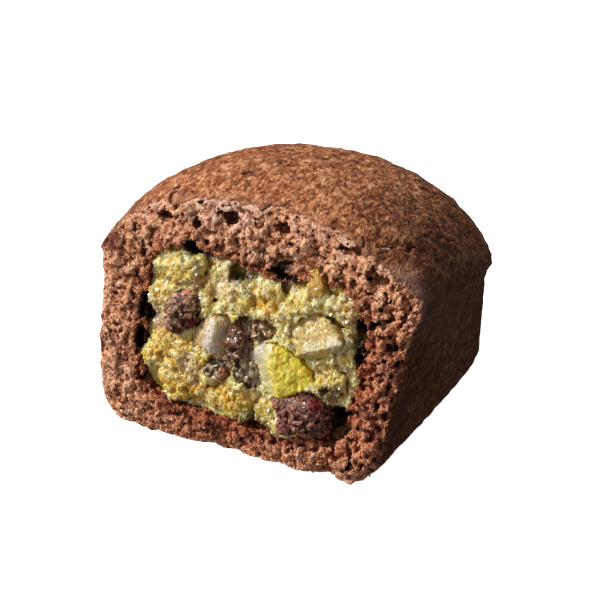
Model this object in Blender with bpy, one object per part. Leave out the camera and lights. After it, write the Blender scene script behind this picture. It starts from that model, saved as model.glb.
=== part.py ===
"""Half of a domed cocoa pineapple cake, broken open across its length to show the filling.

The cake is modelled whole, as a loaf about its middle, and a ragged cutter takes the front half
away. A pocket runs from the break to the far end wall and holds the pineapple jam. The chunks of
fruit and of cocoa dough sit in the jam's front face, each with a hair of clearance round it.
Lengths are in metres, +Z is up and the break faces -Y.
"""

import math

import bmesh
import bpy
import numpy as np
from mathutils import Matrix, Vector, noise

MM = 0.001
CLEARANCE = 0.3 * MM
CORNER_CLEARANCE = 1.4

# The whole cake: a short loaf, wider at the shoulder than at the base. Its top sinks towards the
# break, where the cake was bent, and its shoulders sink towards the far corners.
BASE_WIDTH = 30.6 * MM
SHOULDER_WIDTH = 34.6 * MM
BASE_REACH = 35.6 * MM
SHOULDER_REACH = 36.0 * MM
SHOULDER_HEIGHT = 18.6 * MM
DOME_RISE = 7.9 * MM
BASE_SQUARENESS = 9.0
SHOULDER_SQUARENESS = 3.2
EDGE_RADIUS = 2.6 * MM
WALL_FLARE = 0.8
DOME_ACROSS = 2.5
DOME_ALONG = 3.8
DOME_FALL = 1.68
DOME_OFFSET = -1.8 * MM
DOME_SQUARING = 0.7
END_DROOP = 1.1 * MM
SHOULDER_DROOP = 3.7 * MM
SHOULDER_SPREAD = 6
FRONT_FALL = 2.4 * MM
FRONT_START = 3.0 * MM
FRONT_REACH = 9.0 * MM
FRONT_HEIGHTS = (15.0 * MM, 23.0 * MM)
CORNER_LIP = 2.2 * MM
CORNER_LIP_ANGLE = 0.55
CORNER_LIP_SPREAD = 0.33
SKIN_UNEVENNESS = 0.28 * MM
SWELL_SIZES = (7.0 * MM, 2.6 * MM)
LOAF_CUTS = 21
WALL_SPACING = 1.3

# The break: a plane that leans back, with torn crumb as its relief. Its lower edge is worn
# (height, depth), and so are its corners (place, size and depth in mm).
BREAK_LEAN = 0.18
BREAK_STEP = 0.84 * MM
BREAK_HALF_WIDTH = 21.0 * MM
BREAK_HEIGHTS = (-3.0 * MM, 31.0 * MM)
CUTTER_FRONT = -60.0 * MM
CRAG_SIZE = 3.4 * MM
CRAG_DEPTH = 0.85 * MM
CRUMB_SIZE = 1.5 * MM
CRUMB_DEPTH = 0.55 * MM
CRUMB_STEEPNESS = 1.6
WORN_EDGE = (1.6 * MM, 0.2 * MM)
WORN_CORNERS = [((16.0, 0.0), 3.2, 1.5), ((-15.8, 0.0), 3.0, 1.0), ((17.2, 19.4), 1.8, 0.8)]

# The filling: its outline on the break in mm from the cake's middle line and base, clockwise
# from the upper left. The pocket narrows behind the break: (depth in mm, share of the outline).
FILLING_OUTLINE = [
    (-11.5, 16.4),
    (-10.2, 19.0),
    (-5.6, 20.0),
    (-2.4, 19.0),
    (2.4, 18.3),
    (6.4, 19.0),
    (10.4, 18.6),
    (11.9, 15.6),
    (12.2, 10.4),
    (11.2, 5.6),
    (8.0, 3.6),
    (2.0, 3.0),
    (-3.6, 3.5),
    (-8.8, 4.0),
    (-11.0, 6.4),
    (-11.5, 11.0),
]
FILLING_MIDDLE = (0.3 * MM, 11.3 * MM)
FILLING_SIDES = 48
OUTLINE_RAGGEDNESS = 0.45 * MM
RAGGED_SIZE = 2.4 * MM
POCKET_FRONT = -8.0 * MM
FILLING_TAPER = [(0.0, 1.0), (8.0, 0.98), (18.0, 0.94), (25.0, 0.86), (28.6, 0.66), (30.2, 0.3)]
JAM_SETBACK = 0.35 * MM
JAM_CORE_INSET = 0.35 * MM
JAM_LUMPS = 78
JAM_LUMP_RADIUS = (1.1 * MM, 1.9 * MM)
JAM_LUMP_SHAPE = (1.0, 0.8, 1.0)
JAM_LUMP_SCATTER = 0.3 * MM
JAM_LUMP_ROUGHNESS = 0.5
JAM_LUMP_GRAIN = 0.9

# The cut fruit: the corners of each piece on the break as (x, z, depth behind it) in mm. Each is
# the hull of its corners and of the same ones drawn together further in.
FRUIT_DEPTH = 3.4
FRUIT_TAPER = 0.7
BRIGHT_CORNERS = [
    (0.3, 10.7, 0.6),
    (1.7, 11.9, 0.3),
    (3.1, 12.2, -0.5),
    (4.5, 11.9, -0.1),
    (6.6, 10.7, 0.1),
    (7.3, 9.9, 0.4),
    (7.7, 9.1, 0.2),
    (6.4, 8.0, -0.3),
    (4.6, 7.0, -0.5),
    (2.4, 7.6, 0.3),
    (0.5, 9.6, 0.8),
    (3.4, 10.7, -1.0),
    (4.5, 8.3, -1.0),
]
PALE_CORNERS = [
    (6.8, 16.1, 0.6),
    (5.2, 15.0, 0.4),
    (4.5, 13.2, 0.2),
    (5.6, 12.4, -0.2),
    (6.3, 12.4, -0.9),
    (10.4, 14.1, -0.7),
    (9.5, 15.0, 0.1),
    (7.6, 11.4, 0.5),
    (8.7, 11.9, 0.6),
    (10.3, 13.4, 0.2),
]
CLEAR_CORNERS = [
    (-4.9, 12.8, 0.2),
    (-4.1, 13.5, 0.3),
    (-2.9, 13.6, 0.3),
    (-2.1, 13.3, 0.6),
    (-2.0, 12.0, 0.6),
    (-2.2, 9.3, 0.3),
    (-3.0, 9.2, 0.1),
    (-3.7, 9.9, -0.3),
    (-5.5, 10.2, 0.3),
    (-6.4, 10.3, 0.8),
    (-3.3, 12.9, -0.7),
    (-3.4, 11.0, -0.7),
]
AMBER_CORNERS = [(6.0, 17.8, -0.2), (5.9, 20.1, 0.2), (6.5, 20.4, 0.3), (7.4, 19.3, 0.1), (7.5, 18.2, 0.0)]

# The round pieces: place on the break and depth behind it, then radii across, deep and high, all
# in mm; then how often the ball is divided, the share of its lumps, their seed and their size.
UPPER_COCOA = ((-7.2, 13.4, 0.3), (1.95, 1.95, 2.15), 2, 0.35, 37, 0.7)
LOWER_COCOA = ((7.0, 5.7, 0.5), (3.0, 2.3, 2.3), 3, 0.35, 39, 0.6)
DARK_RAISINS = ((-0.4, 10.8, 0.9), (1.9, 2.2, 3.4), 3, 0.45, 41, 0.55)
SMALL_RAISIN = ((-3.1, 7.7, 0.5), (1.6, 1.6, 1.15), 2, 0.35, 45, 0.6)

# Air holes in the crumb above the filling: place on the break, then radii across, deep and high.
AIR_HOLE_DEPTH = 0.2
AIR_HOLE_ROUGHNESS = 0.45
AIR_HOLE_GRAIN = 0.8
AIR_HOLES = [
    ((-10.6, 22.2), (1.15, 1.5, 0.8)),
    ((-7.0, 22.2), (0.6, 1.2, 0.65)),
    ((-3.5, 23.4), (1.25, 2.1, 1.15)),
    ((2.3, 23.5), (0.9, 1.7, 0.75)),
    ((10.2, 22.8), (1.9, 1.8, 0.42)),
    ((-10.4, 24.0), (0.5, 1.0, 0.8)),
]


def clear_scene():
    for obj in list(bpy.data.objects):
        bpy.data.objects.remove(obj, do_unlink=True)


def new_collection(name):
    collection = bpy.data.collections.new(name)
    bpy.context.scene.collection.children.link(collection)
    return collection


def new_material(name, colour, roughness):
    material = bpy.data.materials.new(name)
    material.use_nodes = True
    shader = material.node_tree.nodes["Principled BSDF"]
    shader.inputs["Base Color"].default_value = (*colour, 1.0)
    shader.inputs["Roughness"].default_value = roughness
    shader.inputs["Metallic"].default_value = 0.0
    material.diffuse_color = (*colour, 1.0)
    return material


def new_object(name, bm, collection, material=None):
    bmesh.ops.recalc_face_normals(bm, faces=bm.faces)
    mesh = bpy.data.meshes.new(name)
    bm.to_mesh(mesh)
    bm.free()
    obj = bpy.data.objects.new(name, mesh)
    collection.objects.link(obj)
    if material:
        mesh.materials.append(material)
    return obj


def new_cutter(name, bm, collection):
    cutter = new_object(name, bm, collection)
    cutter.hide_render = True
    cutter.display_type = "WIRE"
    return cutter


def unit_noise(point, size, seed):
    """Smooth noise of about -1 to 1 with the given feature size."""
    return noise.noise(Vector(point) / size + Vector((seed * 7.3, seed * 3.1, seed * 5.7)))


def cell_bump(point, size, seed):
    """Rounded grains: 1 at a grain's middle and 0 where grains meet."""
    where = Vector(point) / size + Vector((seed * 2.9, seed * 6.1, seed * 4.3))
    nearest, second = noise.voronoi(where)[0][:2]
    return min(1.0, (second - nearest) * CRUMB_STEEPNESS)


def superellipse(angle, exponent):
    """The point at this angle on a rounded square of half width 1."""
    c = math.cos(angle)
    s = math.sin(angle)
    reach = (abs(c) ** exponent + abs(s) ** exponent) ** (-1 / exponent)
    return c * reach, s * reach


def ring_of(u, v):
    """How far out a point of the unit square is, and its direction."""
    return max(abs(u), abs(v)), math.atan2(v, u)


def corner_lip(angle, nearness):
    """How far the lip left by the mould's rim stands out, most at the far corners."""
    turn = abs(angle)
    off_corner = min(abs(turn - CORNER_LIP_ANGLE), abs(turn - (math.pi - CORNER_LIP_ANGLE)))
    return CORNER_LIP * nearness * math.exp(-((off_corner / CORNER_LIP_SPREAD) ** 2))


def wall_point(angle, rise):
    """A point on the side wall, from the base at 0 to the shoulder at 1."""
    share = rise**WALL_FLARE
    width = BASE_WIDTH + (SHOULDER_WIDTH - BASE_WIDTH) * share
    reach = BASE_REACH + (SHOULDER_REACH - BASE_REACH) * share
    height = SHOULDER_HEIGHT * rise
    inset = 0.0
    if height < EDGE_RADIUS:
        inset = EDGE_RADIUS - math.sqrt(EDGE_RADIUS**2 - (EDGE_RADIUS - height) ** 2)
    squareness = BASE_SQUARENESS + (SHOULDER_SQUARENESS - BASE_SQUARENESS) * rise
    x, y = superellipse(angle, squareness)
    lip = corner_lip(angle, rise**5)
    return Vector((x * (width / 2 - inset + lip), y * (reach - inset + lip), height))


def dome_point(angle, out):
    """A point on the domed top, from its highest point at 0 to the shoulder at 1."""
    squareness = 2.0 + (SHOULDER_SQUARENESS - 2.0) * out**DOME_SQUARING
    x, y = superellipse(angle, squareness)
    rise = (1.0 - out**DOME_ACROSS) ** (1.0 / DOME_FALL)
    along = out ** (DOME_ACROSS / DOME_ALONG)
    lip = corner_lip(angle, out**9)
    return Vector(
        (
            x * (out * SHOULDER_WIDTH / 2 + lip) + DOME_OFFSET * (1.0 - out),
            y * (along * SHOULDER_REACH + lip),
            SHOULDER_HEIGHT + DOME_RISE * rise,
        )
    )


def base_point(angle, out):
    """A point on the flat base, from its middle at 0 to the start of the rounded edge at 1."""
    x, y = superellipse(angle, 2.0 + (BASE_SQUARENESS - 2.0) * out)
    return Vector(
        (x * out * (BASE_WIDTH / 2 - EDGE_RADIUS), y * out * (BASE_REACH - EDGE_RADIUS), 0.0)
    )


def sag(place, rim_share):
    """How far the whole cake's skin sinks at a place: at its ends, its far corners and the break."""
    along = (place.y / SHOULDER_REACH) ** 2
    ends = END_DROOP * along * min(1.0, place.z / SHOULDER_HEIGHT)
    corners = SHOULDER_DROOP * along * rim_share**SHOULDER_SPREAD
    low, high = FRONT_HEIGHTS
    up = min(1.0, max(0.0, (place.z - low) / (high - low)))
    near = min(1.3, max(0.0, 1.0 - (place.y - FRONT_START) / FRONT_REACH))
    return ends + corners + FRONT_FALL * near**2 * up * up * (3.0 - 2.0 * up)


def whole_loaf():
    """The whole cake, a finely divided cube whose faces become base, walls and dome."""
    bm = bmesh.new()
    bmesh.ops.create_cube(bm, size=2.0)
    bmesh.ops.subdivide_edges(bm, edges=bm.edges, cuts=LOAF_CUTS, use_grid_fill=True)
    for vert in bm.verts:
        u, v, w = vert.co
        out, angle = ring_of(u, v)
        rim_share = (w + 1.0) / 2
        if w > 0.999:
            point = dome_point(angle, out)
            rim_share = out
        elif w < -0.999:
            point = base_point(angle, out)
        else:
            point = wall_point(angle, rim_share**WALL_SPACING)
        if point.z > EDGE_RADIUS:
            point.z -= sag(point, rim_share)
            lift = unit_noise(point, SWELL_SIZES[0], 1) + 0.5 * unit_noise(point, SWELL_SIZES[1], 2)
            outward = Vector((point.x, point.y * 0.4, point.z - SHOULDER_HEIGHT / 2)).normalized()
            point += outward * lift * SKIN_UNEVENNESS
        vert.co = point
    return bm


def break_plane(z):
    """How far back the break lies at a height, before its relief."""
    return BREAK_LEAN * z


def break_relief(x, z):
    """Torn crumb: broad crags with rounded crumbs on them."""
    spot = (x, 0.0, z)
    crags = unit_noise(spot, CRAG_SIZE, 3) + 0.6 * unit_noise(spot, CRAG_SIZE / 2, 4)
    crumbs = cell_bump(spot, CRUMB_SIZE, 5)
    worn = WORN_EDGE[1] * math.exp(-((z / WORN_EDGE[0]) ** 2))
    for (corner_x, corner_z), size, depth in WORN_CORNERS:
        away = math.hypot(x - corner_x * MM, z - corner_z * MM) / (size * MM)
        worn += depth * MM * math.exp(-(away**2))
    return crags * CRAG_DEPTH - crumbs * CRUMB_DEPTH + worn


def break_cutter():
    """A block over the front half of the cake, with the torn face as its back."""
    low, high = BREAK_HEIGHTS
    columns = round(2 * BREAK_HALF_WIDTH / BREAK_STEP)
    rows = round((high - low) / BREAK_STEP)
    bm = bmesh.new()
    bmesh.ops.create_grid(bm, x_segments=columns, y_segments=rows, size=1.0)
    for vert in bm.verts:
        x = vert.co.x * BREAK_HALF_WIDTH
        z = (low + high) / 2 + vert.co.y * (high - low) / 2
        vert.co = Vector((x, break_plane(z) + break_relief(x, z), z))
    far = bmesh.ops.extrude_face_region(bm, geom=bm.faces[:])["geom"]
    for item in far:
        if isinstance(item, bmesh.types.BMVert):
            item.co.y = CUTTER_FRONT
    return bm


def smooth_outline(points, sides):
    """A closed Catmull-Rom curve through the points, evenly sampled in its parameter."""
    count = len(points)
    found = []
    for i in range(sides):
        at = i * count / sides
        k = int(at)
        t = at - k
        a, b, c, d = (np.array(points[(k + j) % count]) for j in (-1, 0, 1, 2))
        bend = (2 * a - 5 * b + 4 * c - d) * t**2
        turn = (3 * b - a - 3 * c + d) * t**3
        found.append(0.5 * (2 * b + (c - a) * t + bend + turn))
    return np.array(found) * MM


def filling_plug(swell, front):
    """The pocket's shape, swollen by a distance and starting at a place in front of the break."""
    outline = smooth_outline(FILLING_OUTLINE, FILLING_SIDES)
    middle = np.array(FILLING_MIDDLE)
    spokes = outline - middle
    lengths = np.linalg.norm(spokes, axis=1, keepdims=True)
    ragged = np.array([unit_noise((x, 0.0, z), RAGGED_SIZE, 6) for x, z in outline])[:, None]
    outline = middle + spokes * (1.0 + (swell + ragged * OUTLINE_RAGGEDNESS) / lengths)
    stations = [(front, 1.0)] + [(depth * MM, share) for depth, share in FILLING_TAPER]
    stations[-1] = (stations[-1][0] + swell, stations[-1][1])
    bm = bmesh.new()
    rings = []
    for depth, share in stations:
        ring = []
        for x, z in middle + (outline - middle) * share:
            ring.append(bm.verts.new((x, break_plane(z) + depth, z)))
        rings.append(ring)
    for first, second in zip(rings, rings[1:]):
        for i in range(FILLING_SIDES):
            j = (i + 1) % FILLING_SIDES
            bm.faces.new((first[i], first[j], second[j], second[i]))
    bm.faces.new(rings[0])
    bm.faces.new(rings[-1])
    return bm


def place_on_break(x, z, depth=0.0):
    """A point given in mm on the break, at a depth in mm behind it."""
    return Vector((x * MM, break_plane(z * MM) + depth * MM, z * MM))


def ball(centre, radii, subdivisions, roughness, seed, grain):
    """A lumpy ball: radii in mm across, deep and high, and the depth of its lumps as a share."""
    bm = bmesh.new()
    bmesh.ops.create_icosphere(bm, subdivisions=subdivisions, radius=1.0)
    for vert in bm.verts:
        swell = 1.0 + roughness * unit_noise(vert.co, grain, seed)
        vert.co = Vector((vert.co.x * radii[0], vert.co.y * radii[1], vert.co.z * radii[2])) * MM * swell
    bmesh.ops.translate(bm, verts=bm.verts, vec=centre)
    return bm


def lump(shape):
    """One of the round pieces, from its row of dimensions."""
    place, *rest = shape
    return ball(place_on_break(*place), *rest)


def hull_of(bm):
    """Wraps the points in their convex hull and drops those inside it."""
    bmesh.ops.convex_hull(bm, input=bm.verts)
    loose = [vert for vert in bm.verts if not vert.link_faces]
    bmesh.ops.delete(bm, geom=loose, context="VERTS")
    bmesh.ops.recalc_face_normals(bm, faces=bm.faces)
    bm.normal_update()


def cut_fruit(corners):
    """A cut piece of fruit: flat faces between its corners, narrower further in."""
    middle_x, middle_z, _ = np.mean(corners, axis=0)
    bm = bmesh.new()
    for x, z, depth in corners:
        bm.verts.new(place_on_break(x, z, depth))
        far_x = middle_x + (x - middle_x) * FRUIT_TAPER
        far_z = middle_z + (z - middle_z) * FRUIT_TAPER
        bm.verts.new(place_on_break(far_x, far_z, FRUIT_DEPTH))
    hull_of(bm)
    return bm


def clearance_of(obj, collection):
    """A cutter with the object's convex outline, grown outward by the clearance."""
    bm = bmesh.new()
    for vert in obj.data.vertices:
        bm.verts.new(vert.co)
    hull_of(bm)
    moves = [vert.normal * CLEARANCE * CORNER_CLEARANCE for vert in bm.verts]
    for vert, move in zip(bm.verts, moves):
        vert.co += move
    return new_cutter(f"{obj.name}_clearance", bm, collection)


def keep_largest(bm):
    """Drops every loose scrap but the largest body."""
    left = set(bm.verts)
    groups = []
    while left:
        stack = [left.pop()]
        group = set(stack)
        while stack:
            for edge in stack.pop().link_edges:
                for vert in edge.verts:
                    if vert in left:
                        left.discard(vert)
                        group.add(vert)
                        stack.append(vert)
        groups.append(group)
    groups.sort(key=len)
    for group in groups[:-1]:
        bmesh.ops.delete(bm, geom=list(group), context="VERTS")


def bake(obj):
    """Applies the object's modifiers and keeps its largest body."""
    graph = bpy.context.evaluated_depsgraph_get()
    mesh = bpy.data.meshes.new_from_object(obj.evaluated_get(graph))
    bm = bmesh.new()
    bm.from_mesh(mesh)
    keep_largest(bm)
    bm.to_mesh(mesh)
    bm.free()
    obj.modifiers.clear()
    obj.data = mesh


def combine(obj, operation, others, solver="EXACT"):
    """One Boolean for each of the other objects, applied in turn."""
    for other in others:
        modifier = obj.modifiers.new(operation.title(), "BOOLEAN")
        modifier.operation = operation
        modifier.solver = solver
        modifier.object = other
        bake(obj)


def combine_all(obj, operation, collection, solver="EXACT"):
    """One Boolean with a whole collection, applied."""
    modifier = obj.modifiers.new(operation.title(), "BOOLEAN")
    modifier.operation = operation
    modifier.solver = solver
    modifier.operand_type = "COLLECTION"
    modifier.collection = collection
    bake(obj)


def remove_all(collection):
    for obj in list(collection.objects):
        bpy.data.objects.remove(obj, do_unlink=True)
    bpy.data.collections.remove(collection)


def make_crust(parts, cutters):
    """The cocoa dough: half of the loaf with its torn face, pocket and air holes."""
    cocoa = new_material("baked_cocoa_dough", (0.17, 0.075, 0.04), 0.85)
    crust = new_object("cocoa_crust", whole_loaf(), parts, cocoa)
    torn = new_cutter("front_half_cutter", break_cutter(), cutters)
    pocket = new_cutter("filling_pocket_cutter", filling_plug(CLEARANCE, POCKET_FRONT), cutters)
    holes = []
    for k, ((x, z), radii) in enumerate(AIR_HOLES):
        middle = place_on_break(x, z, AIR_HOLE_DEPTH)
        shape = ball(middle, radii, 2, AIR_HOLE_ROUGHNESS, 20 + k, AIR_HOLE_GRAIN)
        holes.append(new_cutter(f"air_hole_cutter_{k + 1}", shape, cutters))
    combine(crust, "DIFFERENCE", [torn, pocket] + holes)
    return crust


def make_chunks(parts):
    """The separate pieces that show in the filling, from the most prominent on."""
    yellow = new_material("bright_pineapple", (0.72, 0.6, 0.06), 0.35)
    pale = new_material("pale_pineapple", (0.74, 0.64, 0.3), 0.4)
    clear = new_material("clear_pineapple", (0.5, 0.46, 0.36), 0.25)
    cocoa = new_material("cocoa_piece", (0.09, 0.03, 0.02), 0.6)
    dark = new_material("dark_raisin", (0.03, 0.012, 0.01), 0.25)
    amber = new_material("amber_peel", (0.6, 0.3, 0.05), 0.4)
    shapes = [
        ("bright_pineapple_chunk", yellow, cut_fruit(BRIGHT_CORNERS)),
        ("pale_pineapple_chunk", pale, cut_fruit(PALE_CORNERS)),
        ("clear_pineapple_chunk", clear, cut_fruit(CLEAR_CORNERS)),
        ("upper_cocoa_chunk", cocoa, lump(UPPER_COCOA)),
        ("lower_cocoa_chunk", cocoa, lump(LOWER_COCOA)),
        ("dark_raisin_cluster", dark, lump(DARK_RAISINS)),
        ("small_raisin", dark, lump(SMALL_RAISIN)),
        ("amber_peel_piece", amber, cut_fruit(AMBER_CORNERS)),
    ]
    return [new_object(name, shape, parts, material) for name, material, shape in shapes]


def make_jam(parts, cutters):
    """The pineapple jam: a plug that fills the pocket, with clotted lumps on the face that shows."""
    jam_colour = new_material("pineapple_jam", (0.62, 0.42, 0.07), 0.2)
    jam = new_object("pineapple_jam", filling_plug(-JAM_CORE_INSET, JAM_SETBACK), parts, jam_colour)
    lumps = new_collection("jam_lumps")
    generator = np.random.default_rng(11)
    outline = smooth_outline(FILLING_OUTLINE, FILLING_SIDES)
    middle = np.array(FILLING_MIDDLE)
    golden = math.pi * (3.0 - math.sqrt(5.0))
    for k in range(JAM_LUMPS):
        radius = generator.uniform(*JAM_LUMP_RADIUS)
        angle = k * golden + generator.uniform(-0.2, 0.2)
        spoke = outline[int((angle % (2 * math.pi)) / (2 * math.pi) * FILLING_SIDES)] - middle
        reach = 1.0 - 0.9 * radius / np.linalg.norm(spoke)
        x, z = middle + spoke * reach * math.sqrt((k + 0.5) / JAM_LUMPS)
        scatter = generator.uniform(-JAM_LUMP_SCATTER, JAM_LUMP_SCATTER)
        centre = Vector((x, break_plane(z) + JAM_SETBACK + scatter, z))
        radii = np.array(JAM_LUMP_SHAPE) * radius / MM
        shape = ball(centre, radii, 1, JAM_LUMP_ROUGHNESS, 50 + k, JAM_LUMP_GRAIN)
        new_object(f"jam_lump_{k + 1}", shape, lumps)
    combine_all(jam, "UNION", lumps, "MANIFOLD")
    remove_all(lumps)
    inside = new_cutter("pocket_guide", filling_plug(0.0, POCKET_FRONT), cutters)
    combine(jam, "INTERSECT", [inside], "MANIFOLD")
    return jam


def shift_to_base(collection):
    """The move that brings the middle of the whole box's underside to the origin."""
    corners = []
    for obj in collection.objects:
        corners += [vert.co for vert in obj.data.vertices]
    points = np.array(corners)
    low = points.min(axis=0)
    high = points.max(axis=0)
    return -Vector(((low[0] + high[0]) / 2, (low[1] + high[1]) / 2, low[2]))


def main():
    clear_scene()
    parts = new_collection("pineapple_cake")
    cutters = new_collection("cutters")
    crust = make_crust(parts, cutters)
    chunks = make_chunks(parts)
    jam = make_jam(parts, cutters)
    clearances = []
    for chunk in chunks:
        if clearances:
            combine(chunk, "DIFFERENCE", clearances)
        clearances.append(clearance_of(chunk, cutters))
    combine(jam, "DIFFERENCE", clearances, "MANIFOLD")
    combine(crust, "DIFFERENCE", clearances)
    shift = shift_to_base(parts)
    for obj in list(parts.objects) + list(cutters.objects):
        obj.data.transform(Matrix.Translation(shift))


main()
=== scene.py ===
"""The looks of half a domed cocoa pineapple cake, broken open to show its filling.

Shapes are worked out in millimetres from the cake's own middle line and base, on the same outline
as its solids. The torn crumb and the jam are grown in fields: blocks of evenly spaced values,
negative inside the food, whose zero surface becomes the mesh. In a field the middle axis is the
depth behind the break, so that a field leans back as the break does.
"""

import math

import bmesh
import bpy
import numpy as np
from mathutils import Matrix, Vector, noise
from mathutils.bvhtree import BVHTree


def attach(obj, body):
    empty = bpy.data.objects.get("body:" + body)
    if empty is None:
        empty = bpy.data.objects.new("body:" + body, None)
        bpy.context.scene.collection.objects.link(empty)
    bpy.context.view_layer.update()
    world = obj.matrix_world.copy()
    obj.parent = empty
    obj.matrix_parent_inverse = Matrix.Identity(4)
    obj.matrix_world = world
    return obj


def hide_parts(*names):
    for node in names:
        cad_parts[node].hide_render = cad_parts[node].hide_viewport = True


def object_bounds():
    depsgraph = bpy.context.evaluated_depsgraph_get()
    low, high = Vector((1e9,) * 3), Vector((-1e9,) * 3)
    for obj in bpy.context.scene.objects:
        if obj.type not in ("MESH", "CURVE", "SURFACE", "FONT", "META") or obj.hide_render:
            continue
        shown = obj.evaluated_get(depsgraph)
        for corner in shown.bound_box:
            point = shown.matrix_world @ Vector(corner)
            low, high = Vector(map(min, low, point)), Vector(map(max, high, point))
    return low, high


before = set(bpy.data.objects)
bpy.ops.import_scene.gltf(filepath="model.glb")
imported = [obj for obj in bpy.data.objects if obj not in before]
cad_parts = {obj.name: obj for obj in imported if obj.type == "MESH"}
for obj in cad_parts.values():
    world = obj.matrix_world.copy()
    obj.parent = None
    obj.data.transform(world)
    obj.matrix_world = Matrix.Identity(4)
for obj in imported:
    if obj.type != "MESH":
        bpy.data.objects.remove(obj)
cad_low, cad_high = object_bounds()

MM = 0.001
# From the cake's middle line, at its break, to the middle of the underside of its box.
TO_FRAME = np.array((-0.02, -17.517, 0.0))

# The camera: where it looks, from which side, how far away and how it is turned.
LOOK_AT = np.array((3.067, 8.0, 14.683)) + TO_FRAME
CAMERA_AZIMUTH = 22.698
CAMERA_ELEVATION = 24.0
CAMERA_ROLL = 3.608
CAMERA_DISTANCE = 243.745
CAMERA_LENS = 144.0
CAMERA_SENSOR = 36.0
IMAGE_SIZE = 600

# The loaf.
BASE_WIDTH = 30.6
SHOULDER_WIDTH = 34.6
BASE_REACH = 35.6
SHOULDER_REACH = 36.0
SHOULDER_HEIGHT = 18.6
DOME_RISE = 7.9
BASE_SQUARENESS = 9.0
SHOULDER_SQUARENESS = 3.2
EDGE_RADIUS = 2.6
WALL_FLARE = 0.8
DOME_ACROSS = 2.5
DOME_ALONG = 3.8
DOME_FALL = 1.68
DOME_OFFSET = -1.8
DOME_SQUARING = 0.7
END_DROOP = 1.1
SHOULDER_DROOP = 3.7
SHOULDER_SPREAD = 6
FRONT_FALL = 2.4
FRONT_START = 3.0
FRONT_REACH = 9.0
FRONT_HEIGHTS = (15.0, 23.0)
CORNER_LIP = 2.2
CORNER_LIP_ANGLE = 0.55
CORNER_LIP_SPREAD = 0.33
SKIN_UNEVENNESS = 0.28
LOAF_DIVISIONS = (112, 120, 58)
LOAF_START = -0.07

# The break.
BREAK_LEAN = 0.18
CRAG_SIZE = 3.4
CRAG_DEPTH = 0.85
CRUMB_SIZE = 1.5
CRUMB_DEPTH = 0.55
WORN_EDGE = (1.6, 0.2)
WORN_CORNERS = [((16.0, 0.0), 3.2, 1.5), ((-15.8, 0.0), 3.0, 1.0), ((17.2, 19.4), 1.8, 0.8)]
AIR_HOLES = [
    ((-10.6, 22.2), (0.95, 1.7, 0.65)),
    ((-7.0, 22.2), (0.6, 1.2, 0.65)),
    ((-3.5, 23.4), (0.9, 2.2, 0.8)),
    ((2.3, 23.5), (0.9, 1.7, 0.75)),
    ((10.2, 22.8), (1.9, 1.8, 0.42)),
    ((-10.5, 24.2), (0.45, 1.8, 0.9)),
]

# The filling.
FILLING_OUTLINE = [
    (-11.5, 16.4),
    (-10.2, 19.0),
    (-5.6, 20.0),
    (-2.4, 19.0),
    (2.4, 18.3),
    (6.4, 19.0),
    (10.4, 18.6),
    (11.9, 15.6),
    (12.2, 10.4),
    (11.2, 5.6),
    (8.0, 3.6),
    (2.0, 3.0),
    (-3.6, 3.5),
    (-8.8, 4.0),
    (-11.0, 6.4),
    (-11.5, 11.0),
]
FILLING_MIDDLE = (0.3, 11.3)
FILLING_SIDES = 48
OUTLINE_RAGGEDNESS = 0.45
FILLING_TAPER = [(0.0, 1.0), (8.0, 0.98), (18.0, 0.94), (25.0, 0.86), (28.6, 0.66), (30.2, 0.3)]
JAM_SETBACK = 0.35
JAM_LUMPS = 78
JAM_LUMP_RADIUS = (1.1, 1.9)

# How fine the grown surfaces are, and how far behind the break each goes.
CRUMB_STEP = 0.135
CRUMB_FRONT = -1.9
CRUMB_BACK = 2.9
JAM_STEP = 0.125
JAM_FRONT = -2.0
JAM_BACK = 2.4
SKIN_THICKNESS = 0.1
RIM_ROUNDING = (0.8, 0.5)
FOOT_OVERHANG = 0.9

# The cut fruit: the corners of each piece on the break as (x, z, depth behind it).
FRUIT_DEPTH = 3.4
FRUIT_TAPER = 0.7
FRUIT_FORWARD = 0.35
FRUIT_STEP = 0.09
FRUIT_SOFTNESS = 0.09
BRIGHT_CORNERS = [
    (0.3, 10.7, 0.6),
    (1.7, 11.9, 0.3),
    (3.1, 12.2, -0.5),
    (4.5, 11.9, -0.1),
    (6.6, 10.7, 0.1),
    (7.3, 9.9, 0.4),
    (7.7, 9.1, 0.2),
    (6.4, 8.0, -0.3),
    (4.6, 7.0, -0.5),
    (2.4, 7.6, 0.3),
    (0.5, 9.6, 0.8),
    (3.4, 10.7, -1.0),
    (4.5, 8.3, -1.0),
]
PALE_CORNERS = [
    (6.8, 16.1, 0.6),
    (5.2, 15.0, 0.4),
    (4.5, 13.2, 0.2),
    (5.6, 12.4, -0.2),
    (6.3, 12.4, -0.9),
    (10.4, 14.1, -0.7),
    (9.5, 15.0, 0.1),
    (7.6, 11.4, 0.5),
    (8.7, 11.9, 0.6),
    (10.3, 13.4, 0.2),
]
CLEAR_CORNERS = [
    (-4.9, 12.8, 0.2),
    (-4.1, 13.5, 0.3),
    (-2.9, 13.6, 0.3),
    (-2.1, 13.3, 0.6),
    (-2.0, 12.0, 0.6),
    (-2.2, 9.3, 0.3),
    (-3.0, 9.2, 0.1),
    (-3.7, 9.9, -0.3),
    (-5.5, 10.2, 0.3),
    (-6.4, 10.3, 0.8),
    (-3.3, 12.9, -0.7),
    (-3.4, 11.0, -0.7),
]
AMBER_CORNERS = [(6.0, 17.8, -0.2), (5.9, 20.1, 0.2), (6.5, 20.4, 0.3), (7.4, 19.3, 0.1), (7.5, 18.2, 0.0)]
# How far a fruit piece is drawn out to the camera, in mm, where it clears the jam and the crumb.
SIGHT_LENGTH = 2.2

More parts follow.
